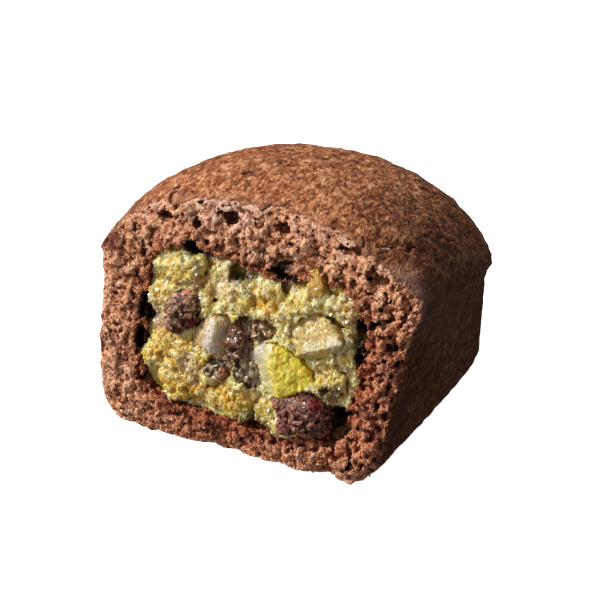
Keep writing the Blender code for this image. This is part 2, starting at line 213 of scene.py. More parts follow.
# The crumb: small pores and knobs strewn over it, and deep cavities on its right. A size as a pair
# is the least and how much a random draw adds.
CRUMB_PLACES = 3000
PORE_RADIUS = (0.1, 0.16)
WIDE_PORES_FROM = 10.5
WIDE_PORE_CHANCE = 0.06
WIDE_PORE_SWELL = 1.9
KNOB_RADIUS = (0.12, 0.14)
OPEN_CAVITIES = 70
CAVITY_PLACES = ((11.5, 1.0), (16.8, 21.0))
CAVITY_RADII = ((0.25, 0.7, 0.3), (0.6, 1.5, 0.8))
# Each noise on the crumb: its depth and size in mm, its seed, and whether it is calmed at the rim.
CRUMB_NOISES = [(0.16, 0.62, 90, True), (0.11, 0.36, 91, True), (0.07, 0.24, 92, False)]
CRUMB_GRAINS = 12000
CRUMB_GRAIN_RADIUS = (0.06, 0.1)
CRUMB_SHARE_KEPT = 0.72

# The jam: granules on each clot, and loose crystals.
CLOT_GRANULES = 30
CLOT_GRANULE_RADIUS = (0.2, 0.42)
JAM_CRYSTALS = 8000
JAM_CRYSTAL_RADIUS = (0.06, 0.14)
JAM_SHARE_KEPT = 0.85

# Dark gaps between the jam and the crumb: place on the break, then radii across, deep and high.
DARK_GAPS = [
    ((-7.2, 19.85), (1.5, 3.0, 0.85)),
    ((-5.6, 19.75), (1.1, 2.4, 0.5)),
    ((2.9, 19.0), (1.7, 2.4, 0.6)),
    ((4.9, 18.5), (0.9, 1.8, 0.45)),
    ((11.9, 15.4), (0.75, 2.2, 1.6)),
    ((12.1, 12.4), (0.5, 2.0, 1.5)),
    ((10.9, 5.6), (1.5, 2.2, 1.6)),
    ((10.0, 3.9), (1.4, 2.0, 1.0)),
    ((1.6, 3.4), (1.5, 1.5, 0.5)),
    ((-12.0, 12.8), (0.5, 2.2, 1.5)),
    ((-11.9, 9.4), (0.6, 2.2, 1.5)),
    ((-11.3, 5.8), (0.5, 2.0, 1.4)),
    ((12.9, 20.4), (1.1, 1.6, 0.6)),
    ((-2.2, 18.2), (0.8, 1.6, 1.0)),
    ((9.0, 8.7), (0.6, 1.6, 0.7)),
    ((-1.2, 14.2), (0.6, 1.4, 0.5)),
    ((1.2, 7.4), (0.8, 1.4, 0.6)),
]

# The dark lumps of cocoa dough and raisin: name, middle as x, depth behind the break and z, radii
# across, deep and high, lumpiness, seed, grain, number of granules and the nodes they replace.
DARK_LUMPS = [
    ("upper_cocoa_lump", (-7.2, 0.3, 13.4), (1.9, 1.9, 2.05), 0.4, 37, 0.7, 200, ["upper_cocoa_chunk"]),
    ("lower_cocoa_lump", (7.0, 0.5, 5.7), (3.0, 2.3, 2.3), 0.35, 39, 0.6, 320, ["lower_cocoa_chunk"]),
    ("dark_raisins", (-0.9, 0.8, 11.4), (1.6, 1.8, 2.7), 0.35, 41, 0.55, 120, ["dark_raisin_cluster"]),
    ("little_raisin", (-2.9, 0.5, 8.0), (1.8, 1.5, 1.2), 0.35, 45, 0.6, 60, ["small_raisin"]),
    ("raisin_wedge", (1.2, 0.8, 12.8), (1.9, 1.3, 1.15), 0.3, 47, 0.7, 30, []),
    ("lower_raisin", (0.5, 0.8, 8.5), (2.1, 1.6, 1.9), 0.4, 49, 0.5, 120, []),
]

# Cracks in the skin, each by its width and depth in mm and the picture's points that it passes.
SKIN_CRACKS = [
    (0.24, 0.6, [(178.0, 186.0), (175.5, 190.0), (172.7, 198.0), (169.2, 206.0)]),
    (0.16, 0.2, [(178.0, 187.0), (183.0, 184.5), (190.0, 182.5)]),
    (0.18, 0.3, [(244.0, 173.0), (251.0, 171.0), (256.5, 166.5)]),
    (0.14, 0.25, [(268.0, 167.5), (275.0, 165.0), (283.0, 165.0), (289.0, 164.0), (297.0, 160.5)]),
    (0.12, 0.25, [(362.0, 237.0), (363.5, 246.0)]),
    (0.09, 0.22, [(377.0, 247.0), (387.0, 248.5), (394.0, 246.0), (402.0, 251.0), (408.5, 252.0)]),
    (0.11, 0.26, [(408.5, 252.0), (413.0, 248.0), (417.0, 248.5), (423.0, 252.5)]),
    (0.15, 0.25, [(409.0, 183.0), (425.0, 189.5), (434.0, 193.5), (442.0, 195.0)]),
    (0.08, 0.18, [(427.0, 237.0), (438.0, 235.5), (448.0, 241.0), (458.0, 241.0)]),
    (0.14, 0.2, [(366.0, 216.0), (370.0, 220.0)]),
]

# The lights: azimuth, elevation, strength and the angle that they fill, all in degrees but strength.
STUDIO_LIGHTS = [
    ("key_light", -62.0, 36.0, 4.1, 8.0),
    ("front_light", -15.0, 14.0, 0.65, 35.0),
    ("back_light", 205.0, 38.0, 0.8, 25.0),
]


# Shapes of the loaf and the break.


def unit_noise(point, size, seed):
    """Smooth noise of about -1 to 1 with the given feature size."""
    return noise.noise(Vector(point) / size + Vector((seed * 7.3, seed * 3.1, seed * 5.7)))


def cell_bump(point, size, seed):
    """Rounded grains: 1 at a grain's middle and 0 where grains meet."""
    where = Vector(point) / size + Vector((seed * 2.9, seed * 6.1, seed * 4.3))
    nearest, second = noise.voronoi(where)[0][:2]
    return min(1.0, (second - nearest) * 1.6)


def fine_noise(x, y, z, size, seed):
    """Smooth noise of about -1 to 1 for whole arrays, whose shapes are broadcast together."""
    side = 32
    table = np.random.default_rng(seed).uniform(-1.0, 1.0, (side, side, side)).astype(np.float32)
    whole = []
    share = []
    for part in (x, y, z):
        part = np.asarray(part, float) / size
        floor = np.floor(part).astype(int)
        whole.append((floor % side, (floor + 1) % side))
        part = part - floor
        share.append(part * part * (3.0 - 2.0 * part))
    total = 0.0
    for i in (0, 1):
        across = share[0] if i else 1.0 - share[0]
        for j in (0, 1):
            along = share[1] if j else 1.0 - share[1]
            for k in (0, 1):
                up = share[2] if k else 1.0 - share[2]
                total = total + table[whole[0][i], whole[1][j], whole[2][k]] * across * along * up
    return total * 1.4


def superellipse(angle, exponent):
    """The points at these angles on a rounded square of half width 1."""
    c = np.cos(angle)
    s = np.sin(angle)
    reach = (np.abs(c) ** exponent + np.abs(s) ** exponent) ** (-1.0 / exponent)
    return c * reach, s * reach


def corner_lip(angle, nearness):
    """How far the lip left by the mould's rim stands out, most at the far corners."""
    turn = np.abs(angle)
    off_corner = np.minimum(np.abs(turn - CORNER_LIP_ANGLE), np.abs(turn - (math.pi - CORNER_LIP_ANGLE)))
    return CORNER_LIP * nearness * np.exp(-((off_corner / CORNER_LIP_SPREAD) ** 2))


def wall_points(angle, rise):
    """Points on the side wall, from the base at 0 to the shoulder at 1."""
    share = rise**WALL_FLARE
    width = BASE_WIDTH + (SHOULDER_WIDTH - BASE_WIDTH) * share
    reach = BASE_REACH + (SHOULDER_REACH - BASE_REACH) * share
    height = SHOULDER_HEIGHT * rise
    below = np.maximum(EDGE_RADIUS - height, 0.0)
    inset = EDGE_RADIUS - np.sqrt(EDGE_RADIUS**2 - below**2)
    x, y = superellipse(angle, BASE_SQUARENESS + (SHOULDER_SQUARENESS - BASE_SQUARENESS) * rise)
    lip = corner_lip(angle, rise**5)
    return np.stack([x * (width / 2 - inset + lip), y * (reach - inset + lip), height], axis=1)


def dome_points(angle, out):
    """Points on the domed top, from its highest point at 0 to the shoulder at 1."""
    x, y = superellipse(angle, 2.0 + (SHOULDER_SQUARENESS - 2.0) * out**DOME_SQUARING)
    rise = (1.0 - out**DOME_ACROSS) ** (1.0 / DOME_FALL)
    along = out ** (DOME_ACROSS / DOME_ALONG)
    lip = corner_lip(angle, out**9)
    across = x * (out * SHOULDER_WIDTH / 2 + lip) + DOME_OFFSET * (1.0 - out)
    return np.stack([across, y * (along * SHOULDER_REACH + lip), SHOULDER_HEIGHT + DOME_RISE * rise], axis=1)


def base_points(angle, out):
    """Points on the flat base, from its middle at 0 to the start of the rounded edge at 1."""
    x, y = superellipse(angle, 2.0 + (BASE_SQUARENESS - 2.0) * out)
    across = x * out * (BASE_WIDTH / 2 - EDGE_RADIUS)
    return np.stack([across, y * out * (BASE_REACH - EDGE_RADIUS), np.zeros_like(out)], axis=1)


def box_lattice(counts):
    """Whole-number points on five sides of a box, all but the one at the start of the middle axis."""
    quads = []
    for axis, end in ((0, 0), (0, 1), (1, 1), (2, 0), (2, 1)):
        across, up = [k for k in range(3) if k != axis]
        first = np.arange(counts[across])
        second = np.arange(counts[up])
        a, b = np.meshgrid(first, second, indexing="ij")
        corners = []
        for da, db in ((0, 0), (1, 0), (1, 1), (0, 1)):
            corner = np.zeros((a.size, 3), int)
            corner[:, across] = a.ravel() + da
            corner[:, up] = b.ravel() + db
            corner[:, axis] = end * counts[axis]
            corners.append(corner)
        quads.append(np.stack(corners, axis=1))
    quads = np.concatenate(quads)
    points, index = np.unique(quads.reshape(-1, 3), axis=0, return_inverse=True)
    return points, index.reshape(-1, 4)


def sag(y, z, rim_share):
    """How far the skin sinks: at the cake's ends, its far corners and the break."""
    along = (y / SHOULDER_REACH) ** 2
    ends = END_DROOP * along * np.minimum(1.0, z / SHOULDER_HEIGHT)
    corners = SHOULDER_DROOP * along * rim_share**SHOULDER_SPREAD
    low, high = FRONT_HEIGHTS
    up = np.clip((z - low) / (high - low), 0.0, 1.0)
    near = np.clip(1.0 - (y - FRONT_START) / FRONT_REACH, 0.0, 1.3)
    return ends + corners + FRONT_FALL * near**2 * up * up * (3.0 - 2.0 * up)


def loaf_skin():
    """The back half of the cake's surface, open at the front, as points and four-sided faces."""
    counts = np.array(LOAF_DIVISIONS)
    lattice, faces = box_lattice(counts)
    share = lattice / counts
    u = 2.0 * share[:, 0] - 1.0
    v = LOAF_START + (1.0 - LOAF_START) * share[:, 1]
    out = np.maximum(np.abs(u), np.abs(v))
    angle = np.arctan2(v, u)
    points = wall_points(angle, share[:, 2] ** 1.3)
    top = lattice[:, 2] == counts[2]
    bottom = lattice[:, 2] == 0
    points[top] = dome_points(angle[top], out[top])
    points[bottom] = base_points(angle[bottom], out[bottom])
    _, y, z = points.T
    free = np.clip((z - EDGE_RADIUS) / 1.2, 0.0, 1.0)
    points[:, 2] -= free * sag(y, z, np.where(top, out, share[:, 2]))
    lift = np.array([unit_noise(p, 7.0, 1) + 0.5 * unit_noise(p, 2.6, 2) for p in points])
    outward = np.stack([points[:, 0], points[:, 1] * 0.4, points[:, 2] - SHOULDER_HEIGHT / 2], axis=1)
    outward /= np.linalg.norm(outward, axis=1, keepdims=True)
    points += outward * (lift * SKIN_UNEVENNESS * free)[:, None]
    return points, faces


def break_plane(z):
    """How far back the break lies at a height, before its relief."""
    return BREAK_LEAN * z


def break_relief(x, z):
    """Torn crumb: broad crags with rounded crumbs on them."""
    spot = (x, 0.0, z)
    crags = unit_noise(spot, CRAG_SIZE, 3) + 0.6 * unit_noise(spot, CRAG_SIZE / 2, 4)
    crumbs = cell_bump(spot, CRUMB_SIZE, 5)
    worn = WORN_EDGE[1] * math.exp(-((z / WORN_EDGE[0]) ** 2))
    for (corner_x, corner_z), size, depth in WORN_CORNERS:
        worn += depth * math.exp(-((math.hypot(x - corner_x, z - corner_z) / size) ** 2))
    return crags * CRAG_DEPTH - crumbs * CRUMB_DEPTH + worn


def relief_map(xs, zs):
    """The break's relief over a grid of places."""
    return np.array([[break_relief(x, z) for z in zs] for x in xs])


def on_break(x, z, depth=0.0):
    """A point on the break, at a depth behind it."""
    return np.array((x, break_plane(z) + depth, z))


def smooth_outline(points, sides):
    """A closed Catmull-Rom curve through the points, evenly sampled in its parameter."""
    count = len(points)
    found = []
    for i in range(sides):
        at = i * count / sides
        k = int(at)
        t = at - k
        a, b, c, d = (np.array(points[(k + j) % count]) for j in (-1, 0, 1, 2))
        curve = 2 * b + (c - a) * t + (2 * a - 5 * b + 4 * c - d) * t**2 + (3 * b - a - 3 * c + d) * t**3
        found.append(0.5 * curve)
    return np.array(found)


def filling_outline(swell=0.0):
    """The filling's ragged outline on the break, swollen by a distance."""
    outline = smooth_outline(FILLING_OUTLINE, FILLING_SIDES)
    middle = np.array(FILLING_MIDDLE)
    spokes = outline - middle
    lengths = np.linalg.norm(spokes, axis=1, keepdims=True)
    ragged = np.array([unit_noise((x, 0.0, z), 2.4, 6) for x, z in outline])[:, None]
    return middle + spokes * (1.0 + (swell + ragged * OUTLINE_RAGGEDNESS) / lengths)


def outline_distance(outline, x, z):
    """How far each place lies outside a closed outline, negative inside it."""
    x, z = np.broadcast_arrays(x, z)
    nearest = np.full(x.shape, 1e9)
    crossings = np.zeros(x.shape, int)
    for (ax, az), (bx, bz) in zip(outline, np.roll(outline, -1, axis=0)):
        squared = (bx - ax) ** 2 + (bz - az) ** 2
        along = np.clip(((x - ax) * (bx - ax) + (z - az) * (bz - az)) / squared, 0, 1)
        away = np.hypot(x - ax - along * (bx - ax), z - az - along * (bz - az))
        nearest = np.minimum(nearest, away)
        spans = (az > z) != (bz > z)
        crossings += spans & (x < (bx - ax) * (z - az) / np.where(bz == az, 1e-9, bz - az) + ax)
    return np.where(crossings % 2 == 1, -nearest, nearest)


def filling_plug(swell, front):
    """The pocket's shape as a closed mesh, swollen and starting at a depth behind the break."""
    middle = np.array(FILLING_MIDDLE)
    outline = filling_outline(swell)
    stations = [(front, 1.0)] + [station for station in FILLING_TAPER if station[0] > front]
    stations[-1] = (stations[-1][0] + swell, stations[-1][1])
    bm = bmesh.new()
    rings = []
    for depth, share in stations:
        ring = middle + (outline - middle) * share
        rings.append([bm.verts.new(on_break(x, z, depth)) for x, z in ring])
    for first, second in zip(rings, rings[1:]):
        for i in range(FILLING_SIDES):
            j = (i + 1) % FILLING_SIDES
            bm.faces.new((first[i], first[j], second[j], second[i]))
    bm.faces.new(rings[0])
    bm.faces.new(rings[-1])
    bmesh.ops.recalc_face_normals(bm, faces=bm.faces)
    return bm


# Fields.


class Field:
    """An evenly spaced block of values, negative inside the food: x, depth behind the break, z."""

    def __init__(self, low, high, step):
        self.low = np.array(low, float)
        self.step = step
        self.counts = np.ceil((np.array(high) - self.low) / step).astype(int) + 1
        self.axes = [self.low[k] + step * np.arange(self.counts[k]) for k in range(3)]
        self.x, self.depth, self.z = np.meshgrid(*self.axes, indexing="ij", sparse=True)
        self.value = np.full(self.counts, 9.0, np.float32)

    def window(self, centre, reach):
        first = np.maximum(((centre - reach - self.low) / self.step).astype(int), 0)
        last = np.minimum(((centre + reach - self.low) / self.step).astype(int) + 2, self.counts)
        part = tuple(slice(a, b) for a, b in zip(first, last))
        x, depth, z = (axis[piece] for axis, piece in zip(self.axes, part))
        return part, x[:, None, None], depth[None, :, None], z[None, None, :]

    def ball_distance(self, centre, radii, margin):
        centre = np.asarray(centre, float)
        radii = np.broadcast_to(np.asarray(radii, float), 3)
        part, x, depth, z = self.window(centre, radii + margin)
        away = ((x - centre[0]) / radii[0]) ** 2 + ((depth - centre[1]) / radii[1]) ** 2
        away = away + ((z - centre[2]) / radii[2]) ** 2
        return part, (np.sqrt(away) - 1.0) * radii.min()

    def add_ball(self, centre, radii, blend):
        """Grows a ball onto the food, with a fillet of about the blend's width."""
        part, away = self.ball_distance(centre, radii, 2.0 * blend)
        if away.size:
            old = self.value[part]
            share = np.clip(0.5 + 0.5 * (old - away) / blend, 0.0, 1.0)
            self.value[part] = old + (away - old) * share - blend * share * (1.0 - share)

    def carve_ball(self, centre, radii, blend):
        """Takes a ball out of the food."""
        part, away = self.ball_distance(centre, radii, 2.0 * blend)
        if away.size:
            old = self.value[part]
            share = np.clip(0.5 + 0.5 * (-away - old) / blend, 0.0, 1.0)
            self.value[part] = old + (-away - old) * share + blend * share * (1.0 - share)

    def keep_inside(self, other):
        self.value = np.maximum(self.value, other).astype(np.float32)

    def roughen(self, amount, size, seed, share=1.0):
        """Adds noise of a depth and a size in mm, times a share that may vary over the field."""
        noise_here = fine_noise(self.x, self.depth, self.z, size, seed)
        self.value += (amount * share * noise_here).astype(np.float32)

    def sample(self, values, points):
        """The values of an array on this field's grid at places in it."""
        at = (points - self.low) / self.step
        floor = np.clip(np.floor(at).astype(int), 0, self.counts - 2)
        share = at - floor
        total = 0.0
        for i in (0, 1):
            for j in (0, 1):
                for k in (0, 1):
                    weight = 1.0
                    for axis, end in enumerate((i, j, k)):
                        weight = weight * (share[:, axis] if end else 1.0 - share[:, axis])
                    total = total + weight * values[floor[:, 0] + i, floor[:, 1] + j, floor[:, 2] + k]
        return total

    def crowding(self, reach):
        """How much food there is round each place: a half on a flat surface, more in a hollow."""
        crowd = (self.value < 0).astype(np.float32)
        width = max(1, round(reach / self.step))
        for axis in range(3):
            padded = np.concatenate([np.repeat(np.take(crowd, [0], axis), width + 1, axis), crowd], axis)
            padded = np.concatenate([padded, np.repeat(np.take(crowd, [-1], axis), width, axis)], axis)
            total = np.cumsum(padded, axis=axis)
            count = crowd.shape[axis]
            span = 2 * width + 1
            high = np.take(total, np.arange(span, span + count), axis)
            low = np.take(total, np.arange(0, count), axis)
            crowd = (high - low) / span
        return crowd

    def surface(self):
        """The zero surface as points and four-sided faces that face outwards."""
        value = self.value
        value[0], value[-1] = 1.0, 1.0
        value[:, 0], value[:, -1] = 1.0, 1.0
        value[:, :, 0], value[:, :, -1] = 1.0, 1.0
        cells = self.counts - 1
        offsets = [(i, j, k) for i in (0, 1) for j in (0, 1) for k in (0, 1)]
        corner = {o: value[tuple(slice(a, a + n) for a, n in zip(o, cells))] for o in offsets}
        inside = sum((corner[o] < 0).astype(np.int8) for o in offsets)
        active = (inside > 0) & (inside < 8)
        index = np.full(cells, -1, np.int64)
        index[active] = np.arange(active.sum())
        total = np.zeros((active.sum(), 3))
        count = np.zeros(active.sum())
        for a in offsets:
            for axis in range(3):
                if a[axis]:
                    continue
                b = tuple(part + (k == axis) for k, part in enumerate(a))
                first = corner[a][active]
                second = corner[b][active]
                crosses = (first < 0) != (second < 0)
                share = first / np.where(crosses, first - second, 1.0)
                place = np.array(a)[None, :] + share[:, None] * np.eye(3)[axis][None, :]
                total += np.where(crosses[:, None], place, 0.0)
                count += crosses
        points = self.low + self.step * (np.argwhere(active) + total / count[:, None])
        quads = []
        for axis in range(3):
            along, across = [k for k in range(3) if k != axis]
            before = [slice(1, cells[k]) for k in range(3)]
            after = list(before)
            before[axis] = slice(0, cells[axis])
            after[axis] = slice(1, cells[axis] + 1)
            first = value[tuple(before)] < 0
            second = value[tuple(after)] < 0
            for leaves, turn in ((first & ~second, 1), (~first & second, -1)):
                base = np.argwhere(leaves)
                base[:, along] += 1
                base[:, across] += 1
                ring = []
                for back_along, back_across in ((1, 1), (0, 1), (0, 0), (1, 0)):
                    cell = base.copy()
                    cell[:, along] -= back_along
                    cell[:, across] -= back_across
                    ring.append(index[cell[:, 0], cell[:, 1], cell[:, 2]])
                ring = np.stack(ring, axis=1)
                quads.append(ring[:, ::turn] if axis != 1 else ring[:, ::-turn])
        return points, np.concatenate(quads)


# Turning points and faces into pieces.


def new_piece(name, points, faces, material, marks=None, replaced=()):
    """A smooth piece in the frame from points in mm, with a named value at each point."""
    placed = (np.asarray(points, float) + TO_FRAME) * MM
    placed = np.clip(placed, np.array(cad_low), np.array(cad_high))
    mesh = bpy.data.meshes.new(name)
    mesh.from_pydata(placed.tolist(), [], np.asarray(faces).tolist())
    return dress(name, mesh, material, marks, replaced)


def dress(name, mesh, material, marks=None, replaced=()):
    """An object from a mesh in the frame: smooth, with its finish, marks and the nodes it replaces."""
    mesh.validate()
    mesh.update()
    mesh.shade_smooth()
    mesh.materials.clear()
    mesh.materials.append(material)
    for mark, values in (marks or {}).items():
        store = mesh.attributes.new(mark, "FLOAT", "POINT")
        store.data.foreach_set("value", np.asarray(values, np.float32))
    piece = bpy.data.objects.new(name, mesh)
    bpy.context.scene.collection.objects.link(piece)
    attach(piece, "root")
    if replaced:
        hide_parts(*replaced)
    return piece


def thin_out(piece, share):
    """Keeps a share of a piece's triangles, fewest where it is flat."""
    piece.modifiers.new("thinner", "DECIMATE").ratio = share
    view = bpy.context.evaluated_depsgraph_get()
    thinned = piece.evaluated_get(view)
    mesh = bpy.data.meshes.new_from_object(thinned, preserve_all_data_layers=True, depsgraph=view)
    piece.modifiers.clear()
    piece.data = mesh
    return piece


def mesh_points(mesh):
    points = np.empty(len(mesh.vertices) * 3, np.float32)
    mesh.vertices.foreach_get("co", points)
    return points.reshape(-1, 3).astype(float)


def mesh_of(bm, name):
    mesh = bpy.data.meshes.new(name)
    bm.to_mesh(mesh)
    bm.free()
    return mesh


def cut_mesh(mesh, cutters):
    """The mesh with closed cutters taken out of it."""
    body = bpy.data.objects.new("cut_body", mesh)
    bpy.context.scene.collection.objects.link(body)
    helpers = []
    for k, cutter in enumerate(cutters):
        helper = bpy.data.objects.new(f"cutter_{k}", cutter)
        bpy.context.scene.collection.objects.link(helper)
        helpers.append(helper)
        modifier = body.modifiers.new(f"cut_{k}", "BOOLEAN")
        modifier.operation = "DIFFERENCE"
        modifier.solver = "MANIFOLD"
        modifier.object = helper
    graph = bpy.context.evaluated_depsgraph_get()
    result = bpy.data.meshes.new_from_object(body.evaluated_get(graph))
    for thing in [body] + helpers:
        bpy.data.objects.remove(thing, do_unlink=True)
    return result


# The loaf's surface, which the crumb and the skin both need.


class Loaf:
    """The cake's outer surface: where it is, and how deep in it a place lies."""

    def __init__(self):
        self.points, self.faces = loaf_skin()
        rim = self.open_edge()
        cap = len(self.points)
        self.closed_points = np.vstack([self.points, self.points[rim[:, 0]].mean(axis=0)])
        self.closed_faces = self.faces.tolist() + [[int(b), int(a), cap] for a, b in rim]
        self.tree = BVHTree.FromPolygons(self.points.tolist(), self.faces.tolist())

    def open_edge(self):
        """The edges used by one face only, each in its face's direction."""
        sides = [self.faces[:, (k, (k + 1) % 4)] for k in range(4)]
        ends = np.concatenate(sides)
        key = np.sort(ends, axis=1)
        _, first, count = np.unique(key, axis=0, return_index=True, return_counts=True)
        return ends[first[count == 1]]

    def depth_at(self, point):
        """How far inside the surface a point is, negative outside."""
        found, normal, _, away = self.tree.find_nearest(Vector(point))
        inward = (Vector(point) - found).dot(self.outward_at(found, normal)) < 0
        return away if inward else -away

    def outward_at(self, found, normal):
        """The normal turned to point away from the cake's middle."""
        away = Vector((found.x, 0.0, found.z - 11.0))
        return normal if normal.dot(away) >= 0 else -normal

    def depths(self, field, spacing):
        """The depth in the loaf over a field, worked out coarsely and spread to its grid."""
        coarse = Field(field.low, field.low + (field.counts - 1) * field.step, spacing)
        values = np.empty(coarse.counts)
        for i, x in enumerate(coarse.axes[0]):
            for k, z in enumerate(coarse.axes[2]):
                for j, depth in enumerate(coarse.axes[1]):
                    values[i, j, k] = self.depth_at((x, break_plane(z) + depth, z))
        for axis in range(3):
            at = (field.axes[axis] - coarse.low[axis]) / spacing
            floor = np.clip(np.floor(at).astype(int), 0, coarse.counts[axis] - 2)
            shape = [1, 1, 1]
            shape[axis] = -1
            share = (at - floor).reshape(shape)
            values = np.take(values, floor, axis) * (1.0 - share) + np.take(values, floor + 1, axis) * share
        return values


# Materials.


class Wire:
    """A number on its way through a material's nodes, which takes part in sums."""

    def __init__(self, finish, socket):
        self.finish = finish
        self.socket = socket

    def __add__(self, other):
        return self.finish.maths("ADD", self, other)

    def __sub__(self, other):
        return self.finish.maths("SUBTRACT", self, other)

    def __rsub__(self, other):
        return self.finish.maths("SUBTRACT", other, self)

    def __mul__(self, other):
        return self.finish.maths("MULTIPLY", self, other)

    def __truediv__(self, other):
        return self.finish.maths("DIVIDE", self, other)

    def held(self, low=0.0, high=1.0):
        """The number spread from low to high onto 0 to 1, and held there."""
        values = {"Value": self, "From Min": low, "From Max": high}
        return self.finish.add("ShaderNodeMapRange", {"clamp": True}, values, "Result")

    __radd__ = __add__
    __rmul__ = __mul__


class Finish:
    """One material and the nodes that make its look."""

    def __init__(self, name):
        self.material = bpy.data.materials.new(name)
        self.material.use_nodes = True
        self.tree = self.material.node_tree
        self.tree.nodes.clear()
        self.place = self.add("ShaderNodeTexCoord", {}, {}, "Object")

    def add(self, kind, settings, values, output=0):
        """Adds a node, with its settings first and then its sockets' values or links."""
        node = self.tree.nodes.new(kind)
        for name, value in settings.items():
            if name == "stops":
                self.set_stops(node.color_ramp, value)
            else:
                setattr(node, name, value)
        for name, value in values.items():
            socket = node.inputs[name]
            if isinstance(value, Wire):
                self.tree.links.new(value.socket, socket)
            else:
                socket.default_value = value
        return Wire(self, node.outputs[output]) if node.outputs else None

    def set_stops(self, ramp, stops):
        while len(ramp.elements) < len(stops):
            ramp.elements.new(0.5)
        for element, (position, colour) in zip(ramp.elements, stops):
            element.position = position
            element.color = (*colour, 1.0)

    def maths(self, operation, first, second):
        return self.add("ShaderNodeMath", {"operation": operation}, {0: first, 1: second})

    def mark(self, name):
        """The value that the mesh holds at each point."""
        return self.add("ShaderNodeAttribute", {"attribute_name": name}, {}, "Fac")

    def vector(self, operation, other, output=0):
        """The place on the piece with another vector added, multiplied or compared."""
        return self.add("ShaderNodeVectorMath", {"operation": operation}, {0: self.place, 1: other}, output)

    def pattern_at(self, size, shift):
        """The sockets that give a pattern its size in mm and its place."""
        return {"Vector": self.vector("ADD", (shift, shift, shift)), "Scale": 1.0 / (size * MM)}

    def mottle(self, size, detail=2.0, roughness=0.5, shift=0.0):
        """Noise of 0 to 1 with patches of a size in mm."""
        values = {**self.pattern_at(size, shift), "Detail": detail, "Roughness": roughness}
        return self.add("ShaderNodeTexNoise", {}, values, "Fac")

    def specks(self, size, shift=0.0):
        """Cells of a size in mm: 0 in a cell's middle and about 1 at its edge."""
        return self.add("ShaderNodeTexVoronoi", {"feature": "F1"}, self.pattern_at(size, shift), "Distance")

    def cell_tone(self, size, shift=0.0):
        """A number of 0 to 1 that is the same over each cell of a size in mm."""
        colour = self.add("ShaderNodeTexVoronoi", {"feature": "F1"}, self.pattern_at(size, shift), "Color")
        return self.add("ShaderNodeSeparateColor", {}, {"Color": colour}, "Red")

    def stretch(self, scales):
        """Draws the patterns that follow out, by one over each scale."""
        self.place = self.vector("MULTIPLY", scales)

    def near(self, place, reach):
        """1 at a place in mm and 0 past its reach, as a soft ball."""
        centre = tuple((np.asarray(place, float) + TO_FRAME) * MM)
        return 1.0 - (self.vector("DISTANCE", centre, "Value") / (reach * MM)).held(0.4, 1.0)

    def near_any(self, places):
        """The sum of soft balls, each as x, z and depth behind the break, and its reach in mm."""
        balls = [self.near(on_break(x, z, depth), reach) for x, z, depth, reach in places]
        return sum(balls[1:], balls[0])

    def ramp(self, amount, stops):
        return self.add("ShaderNodeValToRGB", {"stops": stops}, {"Fac": amount}, "Color")

    def mix(self, amount, first, second, blend="MIX"):
        settings = {"data_type": "RGBA", "blend_type": blend}
        values = {0: amount, 6: self.colour(first), 7: self.colour(second)}
        return self.add("ShaderNodeMix", settings, values, 2)

    def colour(self, value):
        return value if isinstance(value, Wire) else (*value, 1.0)

    def bump(self, height, depth, strength=1.0):
        """A normal from a height of 0 to 1 that stands for a depth in mm."""
        values = {"Height": height, "Distance": depth * MM, "Strength": strength}
        return self.add("ShaderNodeBump", {}, values, "Normal")

    def shade(self, base, roughness, normal=None, **constants):
        """The surface's shader. Names in constants are socket names with _ for a space."""
        values = {"Base Color": base, "Roughness": roughness}
        if normal is not None:
            values["Normal"] = normal
        values.update({name.replace("_", " "): value for name, value in constants.items()})
        shader = self.add("ShaderNodeBsdfPrincipled", {"subsurface_method": "RANDOM_WALK"}, values, "BSDF")
        self.add("ShaderNodeOutputMaterial", {}, {"Surface": shader})
        return self.material


